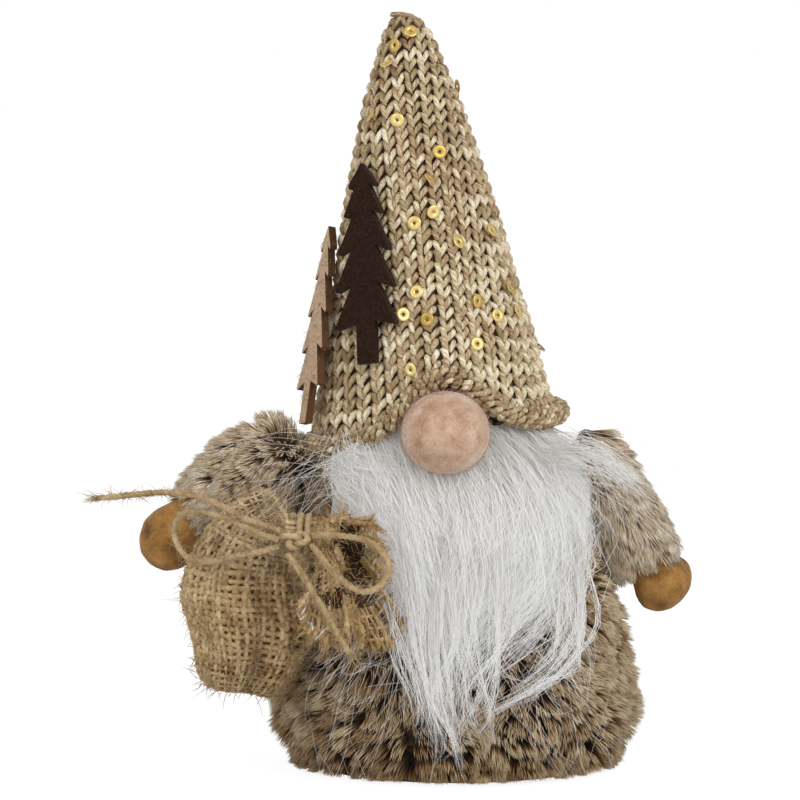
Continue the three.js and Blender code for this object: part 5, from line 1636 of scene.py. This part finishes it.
for _ in range(SHOULDER_WISP):
    start = np.array([0.026, -0.0290, 0.0885]) + beard_dice.normal(size=3) * (0.0030, 0.0006, 0.0026)
    end = np.array([0.0485, -0.0205, 0.0765]) + beard_dice.normal(size=3) * (0.0022, 0.0007, 0.0022)
    middle = (start + end) / 2 + np.array([0, -0.0012, 0.0030 + 0.0012 * beard_dice.normal()])
    wisp_lines.append(smooth_route([start, middle, end], 0.0026))
hair_piece("beard_wisps", "figure", "beard_fur", wisp_lines, 0.00008,
           beard_dice.uniform(0.3, 1, len(wisp_lines)), beard_hair)

# Stray hairs: fine long hairs that have come loose from the beard and lie over the shoulders, the
# sack and the lower fur.
STRAY_HAIRS = 180
SIDE_WISPS = [(-1, 34), (1, 46)]
stray_dice = np.random.default_rng(91)
stray_lines = []
for _ in range(STRAY_HAIRS):
    side = stray_dice.choice((-1, 1))
    start_x = side * stray_dice.uniform(0.002, 0.034)
    start_z = stray_dice.uniform(0.028, 0.080)
    reach = stray_dice.uniform(0.012, 0.036)
    fall = stray_dice.normal() * 0.016 - 0.016
    bow = stray_dice.normal() * 0.006
    share = np.linspace(0, 1, 16)
    x = start_x + side * reach * share + bow * np.sin(np.pi * share)
    z = start_z + fall * share + stray_dice.normal() * 0.005 * np.sin(np.pi * share)
    x = 0.046 * np.tanh(x / 0.046)
    z = 0.003 + np.abs(z - 0.003)
    stray_lines.append(over_body(x, z, 0.0075 + 0.004 * np.sin(np.pi * share)))
for side, count in SIDE_WISPS:
    for _ in range(count):
        start = np.array([side * stray_dice.uniform(0.020, 0.034), -0.0285,
                          stray_dice.uniform(0.078, 0.093)])
        end = np.array([side * stray_dice.uniform(0.042, 0.068),
                        -0.0235 if side > 0 else -0.050, stray_dice.uniform(0.050, 0.090)])
        middle = (start + end) / 2 + np.array([0, -0.003, 0.003 + 0.002 * stray_dice.normal()])
        stray_lines.append(smooth_route([start, middle, end], 0.0026))
hair_piece("beard_stray_hairs", "figure", "beard_fur", stray_lines, 0.000042,
           stray_dice.uniform(0.4, 1, len(stray_lines)), beard_hair)

# Sack: a small bag of burlap, stuffed, gathered at the neck by the twine. Warps run from the neck to
# the bottom and wefts go round it, over and under, above the brown lining seen between them.
SACK_TALL = 0.056
SACK_WIDTH = 0.033
SACK_THICKNESS = 0.028
NECK_LENGTH = 0.006
BAG_FORM = [
    (-0.17, 0.2, -0.04, -0.086, 0.46, 0.43), (-0.39, 0.13, -0.02, -0.11, 0.66, 0.64),
    (-0.65, -0.005, 0.07, -0.14, 0.88, 0.76), (-0.82, -0.18, 0.12, -0.23, 1, 0.786),
    (-0.85, -0.33, 0.15, -0.36, 1, 0.732), (-0.79, -0.47, 0.17, -0.52, 0.95, 0.661),
    (-0.73, -0.61, 0.05, -0.68, 0.76, 0.607), (-0.71, -0.71, -0.10, -0.77, 0.5, 0.571),
    (-0.65, -0.76, -0.20, -0.80, 0.24, 0.557),
]
BAG_PLEATS = 11
WEAVE_PITCH = 0.0019
YARN_RADIUS = 0.00093
WEAVE_LIFT = 0.00042
YARN_TWIST = 260.0
BAG_WARPS = 50
NECK_YARNS = 30
LINING_DEPTH = 0.001
FILLING_DEPTH = 0.0022


def cloth_tube(end, form, size, pleats, crease):
    """Rings of a gathered cloth from its neck outwards, evenly spaced along it. Gives a function
    of the share along, the turn and the distance out, and the mean length of the cloth."""
    width, tall, deep = size
    rows = [[0, NECK_RADIUS / tall, 0, -NECK_RADIUS / tall, 2 * NECK_RADIUS / deep, 0]]
    rows = np.array(rows + [list(row) for row in form], float)
    fine = np.column_stack([
        np.interp(np.linspace(0, len(rows) - 1, 160), np.arange(len(rows)), rows[:, k])
        for k in range(6)])
    kernel = np.hanning(25)
    kernel /= kernel.sum()
    soft = np.column_stack([np.convolve(np.pad(fine[:, k], 12, mode="edge"), kernel, "valid")
                            for k in range(6)])
    hold = np.clip(np.minimum(np.arange(160), np.arange(160)[::-1]) / 14, 0, 1)[:, None]
    fine = fine * (1 - hold) + soft * hold

    def ring(row, turn, out):
        high = np.stack([end[0] + row[..., 0] * width, end[1] + row[..., 5] * deep,
                         end[2] + row[..., 1] * tall], axis=-1)
        low = np.stack([end[0] + row[..., 2] * width, end[1] + row[..., 5] * deep,
                        end[2] + row[..., 3] * tall], axis=-1)
        half = (high - low) / 2
        reach = np.linalg.norm(half, axis=-1)
        place = (high + low) / 2 + unit(half) * ((reach + out) * np.cos(turn))[..., None]
        place[..., 1] += (deep / 2 * row[..., 4] + out) * np.sin(turn)
        return place

    turns = np.linspace(0, 2 * np.pi, 24, endpoint=False)
    steps = np.stack([ring(fine, turn, 0.0) for turn in turns])
    along = np.linalg.norm(np.diff(steps, axis=1), axis=2).mean(axis=0)
    along = np.concatenate([[0], np.cumsum(along)])

    def place(share, turn, out):
        share, turn = np.broadcast_arrays(np.asarray(share, float), np.asarray(turn, float))
        row = np.stack([np.interp(share * along[-1], along, fine[:, k]) for k in range(6)], axis=-1)
        gather = np.exp(-share * along[-1] / 0.013) * np.clip(share * 9, 0, 1)
        ripple = pleats * gather * np.cos(BAG_PLEATS * turn + 1.4 * np.sin(3 * turn))
        away = np.arctan2(np.sin(turn + np.pi / 2 + 0.25), np.cos(turn + np.pi / 2 + 0.25))
        dent = crease * np.exp(-0.5 * (away / 0.2) ** 2) * np.clip((share - 0.45) / 0.3, 0, 1)
        dent = np.minimum(dent, deep * 0.3 * row[..., 4])
        lumps = (0.0009 * np.sin(3 * turn + 9 * share) * np.sin(2 * turn - 13 * share)
                 + 0.0004 * np.sin(7 * turn + 21 * share))
        return ring(row, turn, out + ripple - dent + lumps * np.clip(share * 4, 0, 1))
    return place, along[-1]


def woven_lines(place, length, warps, margin, dice, wobble):
    """Warps along a cloth tube and wefts round it, over and under each other. Also gives how thick
    each is, thinner where the cloth is gathered."""
    wefts = int(round(length / WEAVE_PITCH))
    warp_lines, warp_thick, weft_lines, weft_thick = [], [], [], []
    share = np.linspace(0.004, 1 - margin, int(length / 0.00060))
    round_turn = np.linspace(0, 2 * np.pi, 16, endpoint=False)
    rings = np.stack([place(share, turn, 0.0) for turn in round_turn])
    around = np.linalg.norm(rings - np.roll(rings, -1, axis=0), axis=2).sum(axis=0)
    squash = np.clip(around / warps / WEAVE_PITCH, 0.42, 1.06)
    for i in range(warps):
        base = 2 * np.pi * i / warps
        drift = wobble * np.interp(share, np.linspace(0, 1, 9), dice.normal(size=9)) / warps
        lift = WEAVE_LIFT * np.cos(np.pi * share * wefts) * (-1) ** i * squash
        warp_lines.append(place(share, base + drift, lift - 0.0003))
        swell = np.interp(share, np.linspace(0, 1, 24), dice.uniform(0.78, 1.2, 24))
        warp_thick.append(YARN_RADIUS * swell * squash)
    for j in range(1, wefts):
        at = j / wefts
        if at > 1 - margin:
            break
        width = float(np.interp(at, share, around))
        steps = max(24, int(width / 0.00062))
        turn = np.linspace(0, 2 * np.pi, steps, endpoint=False)
        tight = float(np.interp(at, share, squash))
        drift = wobble * 0.14 * np.interp(turn, np.linspace(0, 2 * np.pi, 13),
                                          np.append(dice.normal(size=12), 0)) / wefts
        lift = -WEAVE_LIFT * np.cos(warps * turn / 2) * (-1) ** j * tight
        weft_lines.append(place(at + drift, turn, lift - 0.0003))
        swell = np.interp(turn, np.linspace(0, 2 * np.pi, 24), dice.uniform(0.78, 1.2, 24))
        weft_thick.append(YARN_RADIUS * swell * max(0.55, tight))
    return warp_lines, warp_thick, weft_lines, weft_thick


def yarn_piece(name, lines, thick, finish, closed, dice):
    """Yarns swept as one piece that rides on the arm with the sack. Those that lie nearer the top
    left are paler: painted light, as the light falls on that side of the cloth."""
    # painted light: yarns nearer the top left of the sack get a paler tone
    painted_light_top_left = np.array([np.dot(line.mean(axis=0) - neck, (-9, 0, 13)) for line in lines])
    tones = np.clip(0.72 + painted_light_top_left + 0.24 * dice.normal(size=len(lines)), 0, 1)
    return swept(name, "sack_arm", "burlap", lines, thick, tones, yarn_section, YARN_TWIST, finish,
                 closed)


burlap = yarn_material("burlap", [
    (0.0, (104, 75, 37)), (0.3, (160, 129, 84)), (0.62, (202, 174, 128)), (1.0, (232, 212, 174))],
    1100.0, 0.9, 0.05)
sack_lining = yarn_material("sack_lining", [
    (0.0, (92, 64, 30)), (0.5, (130, 98, 56)), (1.0, (158, 127, 82))], 900.0, 0.9, 0.0)
yarn_section = section_outline("yarn_section", 6, lobes=3, depth=0.34)
weave_dice = np.random.default_rng(63)
bag_end = neck - np.array([NECK_LENGTH / 2, 0, 0])
frill_end = neck + np.array([NECK_LENGTH / 2, 0, 0])
bag_place, bag_length = cloth_tube(bag_end, BAG_FORM, (SACK_WIDTH, SACK_TALL, SACK_THICKNESS),
                                   0.0018, 0.0042)

bag_turns = np.linspace(0, 2 * np.pi, 60, endpoint=False)
lining = ring_shell("sack_lining", [bag_place(share, bag_turns, -LINING_DEPTH)
                                    for share in np.linspace(0.0, 0.985, 46)], sack_lining, "sack_arm")
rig.slot(lining, "burlap")
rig.replaces(lining, "sack_cloth")
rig.padded(lining, fill=0.8)
filling = ring_shell("sack_filling", [bag_place(share, bag_turns, -FILLING_DEPTH)
                                      for share in np.linspace(0.1, 0.96, 24)], sack_lining, "sack_arm")
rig.slot(filling, "fibre_stuffing")
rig.replaces(filling, "sack_stuffing")
neck_lines = []
for angle in np.arange(NECK_YARNS) * 2 * np.pi / NECK_YARNS:
    reach = NECK_RADIUS - 0.0004 + 0.0003 * weave_dice.normal()
    aside = reach * np.array([0, math.sin(angle), math.cos(angle)])
    neck_lines.append(smooth_route([bag_end - (0.001, 0, 0) + aside, neck + aside * 0.92,
                                    frill_end + (0.001, 0, 0) + aside], 0.0008))
yarn_piece("neck_yarns", neck_lines, [np.full(len(line), 0.0005) for line in neck_lines], burlap,
           False, weave_dice)
warps, warp_thick, wefts, weft_thick = woven_lines(bag_place, bag_length, BAG_WARPS, 0.012,
                                                   weave_dice, 1.5)
yarn_piece("sack_warps", warps, warp_thick, burlap, False, weave_dice)
yarn_piece("sack_wefts", wefts, weft_thick, burlap, True, weave_dice)
bag_yarns = warps + wefts

# Frill: the open end of the same burlap beyond the tie, spread in folds. Its edge is cut and frays,
# so that the warps end in loose threads.
FRILL_RIM = [
    (-0.0218, -0.0480, 0.0712), (-0.0190, -0.0465, 0.0658), (-0.0177, -0.0450, 0.0599),
    (-0.0192, -0.0440, 0.0546), (-0.0218, -0.0430, 0.0519), (-0.0198, -0.0430, 0.0501),
    (-0.0156, -0.0440, 0.0484), (-0.0133, -0.0450, 0.0443), (-0.0138, -0.0470, 0.0394),
    (-0.0182, -0.0500, 0.0370), (-0.0228, -0.0530, 0.0382), (-0.0256, -0.0560, 0.0422),
    (-0.0269, -0.0575, 0.0460), (-0.0274, -0.0590, 0.0411), (-0.0314, -0.0600, 0.0399),
    (-0.0365, -0.0600, 0.0417), (-0.0401, -0.0590, 0.0462), (-0.0386, -0.0570, 0.0506),
    (-0.0335, -0.0550, 0.0524), (-0.0300, -0.0540, 0.0564), (-0.0284, -0.0530, 0.0604),
    (-0.0310, -0.0525, 0.0634), (-0.0336, -0.0520, 0.0654), (-0.0326, -0.0515, 0.0690),
    (-0.0285, -0.0500, 0.0714),
]
FRILL_LENGTH = 0.020
FRILL_WARPS = 76
FRAYS_PER_WARP = 11


def rim_tube(end, rim, length, ruffle):
    """Cloth that leaves the neck in a narrow ring and ends in a folded rim, as a function of the
    share along, the turn and the distance out."""
    route = smooth_route(list(rim) + [rim[0]], 0.0006)
    turns = np.linspace(0, 2 * np.pi, len(route))

    def base(share, turn):
        turn = np.mod(turn, 2 * np.pi)
        far = np.stack([np.interp(turn, turns, route[:, k]) for k in range(3)], axis=-1)
        near = np.stack([end[0] + 0 * turn, end[1] + NECK_RADIUS * np.sin(turn),
                         end[2] + NECK_RADIUS * np.cos(turn)], axis=-1)
        middle = near + (far - near) * 0.4 + np.array([length * 0.2, 0, 0])
        middle[..., 1] += 0.005 * np.sin(turn)
        share = share[..., None]
        return near * (1 - share) ** 2 + 2 * middle * share * (1 - share) + far * share ** 2

    def place(share, turn, out):
        share, turn = np.broadcast_arrays(np.asarray(share, float), np.asarray(turn, float))
        along = base(np.minimum(share + 0.02, 1.02), turn) - base(share - 0.02, turn)
        around = base(share, turn + 0.03) - base(share, turn - 0.03)
        wave = ruffle * share * (np.sin(11 * turn + 2 * np.sin(2 * turn))
                                 + 0.5 * np.sin(23 * turn + 5 * share))
        return base(share, turn) + unit(np.cross(along, around)) * (out + wave)[..., None]
    return place, length


frill_place, frill_length = rim_tube(frill_end, FRILL_RIM, FRILL_LENGTH, 0.0011)
warps, warp_thick, wefts, weft_thick = woven_lines(frill_place, frill_length, FRILL_WARPS, 0.02,
                                                   weave_dice, 0.8)
frill_warps = yarn_piece("frill_warps", warps, warp_thick, burlap, False, weave_dice)
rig.replaces(frill_warps, "sack_frill")
yarn_piece("frill_wefts", wefts, weft_thick, burlap, True, weave_dice)
frill_turns = np.linspace(0, 2 * np.pi, 140, endpoint=False)
# painted shade: a dark brown sheet just under the frill's yarns darkens the hollows of its folds and backs the yarns
# near the neck
frill_shade_paint = yarn_material("frill_shade", [
    (0.0, (40, 23, 8)), (0.5, (70, 46, 22)), (1.0, (112, 82, 48))], 1500.0, 0.9, 0.0)
frill_shade = ring_shell("frill_inside", [frill_place(share, frill_turns, -0.0009)
                                          for share in np.linspace(0.03, 0.66, 14)],
                         frill_shade_paint, "sack_arm", closed=False)
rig.slot(frill_shade, "burlap")
fray_jute = yarn_material("frayed_jute", [
    (0.0, (134, 96, 50)), (0.4, (184, 144, 88)), (0.75, (214, 180, 126)), (1.0, (236, 212, 168))],
    1100.0, 0.9, 0.05)
frayed = []
for warp in warps:
    way = warp[-1] - warp[-5]
    way /= np.linalg.norm(way)
    lean = weave_dice.normal(size=3) * 0.4
    reach = weave_dice.uniform(0.0014, 0.0046)
    for _ in range(FRAYS_PER_WARP):
        share = np.linspace(0, 1, 5)[:, None]
        bend = lean + weave_dice.normal(size=3) * 0.34
        frayed.append(warp[-3] + weave_dice.normal(size=3) * 0.00035
                      + reach * weave_dice.uniform(0.6, 1.1) * (way * share + bend * share ** 1.5))
frayed += loose_fibres(warps + wefts, 900, 0.0034, YARN_RADIUS, weave_dice, 0.55)
hair_piece("frill_fibres", "sack_arm", "burlap", frayed, 0.0001,
           weave_dice.uniform(0, 1, len(frayed)), fray_jute)

# Thread ends: four cut ends of white cotton thread, which lie on the front of the frill. Each is
# laid just off the yarns under it.
THREAD_ENDS = [
    [(-0.0393, 0.0520), (-0.0386, 0.0507), (-0.0391, 0.0494), (-0.0397, 0.0485)],
    [(-0.0424, 0.0494), (-0.0428, 0.0478), (-0.0415, 0.0467), (-0.0400, 0.0472), (-0.0390, 0.0480)],
    [(-0.0381, 0.0463), (-0.0371, 0.0459), (-0.0368, 0.0443)],
    [(-0.0332, 0.0450), (-0.0346, 0.0437), (-0.0363, 0.0420)],
]
front_points = np.vstack(warps + wefts + bag_yarns)
thread_lines = []
for stitch in THREAD_ENDS:
    laid = []
    for x, z in stitch:
        near = np.hypot(front_points[:, 0] - x, front_points[:, 2] - z) < 0.0014
        laid.append((x, front_points[near, 1].min() - YARN_RADIUS - 0.0002, z))
    thread_lines.append(smooth_route(laid, 0.0005))
cotton, cotton_tree, cotton_shader = plain_material("white_thread", 0.7, 0.2)
cotton_tone = cotton_tree.nodes.new("ShaderNodeAttribute")
cotton_tone.attribute_name = "along"
cotton_colour = colour_ramp(cotton_tree, cotton_tone.outputs["Fac"], [
    (0.0, (214, 208, 206)), (1.0, (240, 236, 238))])
cotton_tree.links.new(cotton_colour, cotton_shader.inputs["Base Color"])
swept("thread_ends", "sack_arm", "burlap", thread_lines,
      [np.full(len(line), 0.00026) for line in thread_lines], [0.2, 0.5, 0.7, 0.9], yarn_section,
      900.0, cotton)

# Loose fibres that stand off the bag's yarns
sack_fuzz = (loose_fibres(bag_yarns, 3600, 0.0042, YARN_RADIUS, weave_dice, 0.45)
             + loose_fibres(bag_yarns, 700, 0.0030, YARN_RADIUS, weave_dice))
hair_piece("sack_fibres", "sack_arm", "burlap", sack_fuzz, 0.00011,
           weave_dice.uniform(0, 1, len(sack_fuzz)), jute_twine)

# Inside and underneath: the felt and card of the base, the weight bag, the stuffing, the woven strip
# behind the beard and the dabs of glue, which show only where the figure is taken apart.
def inner_material(name, stops, grain, roughness):
    """A plain matte material with fine fibres or grain."""
    material, tree, shader = plain_material(name, roughness, 0.1)
    where = tree.nodes.new("ShaderNodeTexCoord").outputs["Object"]
    grains = placed_group(tree, fine_grain, {"Place": where},
                          {"Scale": grain, "Detail": 4.0}).outputs["Grain"]
    tree.links.new(colour_ramp(tree, grains, stops), shader.inputs["Base Color"])
    bump(tree, shader, grains, 0.4, 0.0003)
    return material


INNER_FINISHES = {
    "base_felt": ("base_cloth", [(0.3, (96, 82, 66)), (0.7, (128, 112, 92))], 800.0, 0.95),
    "card": ("base_board", [(0.3, (150, 124, 92)), (0.7, (174, 150, 118))], 500.0, 0.8),
    "ballast_cotton": ("ballast_bag", [(0.3, (206, 200, 188)), (0.7, (228, 224, 214))], 900.0, 0.9),
    "beard_weave": ("beard_backing", [(0.3, (196, 192, 184)), (0.7, (222, 219, 212))], 900.0, 0.9),
}
for slot_name, (node, stops, grain, roughness) in INNER_FINISHES.items():
    finish_node(node, inner_material(slot_name, stops, grain, roughness), slot_name)
fibre_fill = inner_material("fibre_stuffing", [(0.3, (222, 221, 217)), (0.7, (242, 241, 238))],
                            300.0, 1.0)
for node in ("body_stuffing", "hat_stuffing"):
    finish_node(node, fibre_fill, "fibre_stuffing")
glue = inner_material("clear_glue", [(0.3, (216, 208, 186)), (0.7, (230, 224, 206))], 200.0, 0.25)
for node in ("tree_dark_glue", "tree_light_glue", "sack_glue"):
    finish_node(node, glue, "clear_glue")

visual_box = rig.bounds()
with open("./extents.json", "w", encoding="utf-8") as file:
    json.dump({"cad": [list(corner) for corner in cad_box],
               "visual": [list(corner) for corner in visual_box]}, file, indent=1)
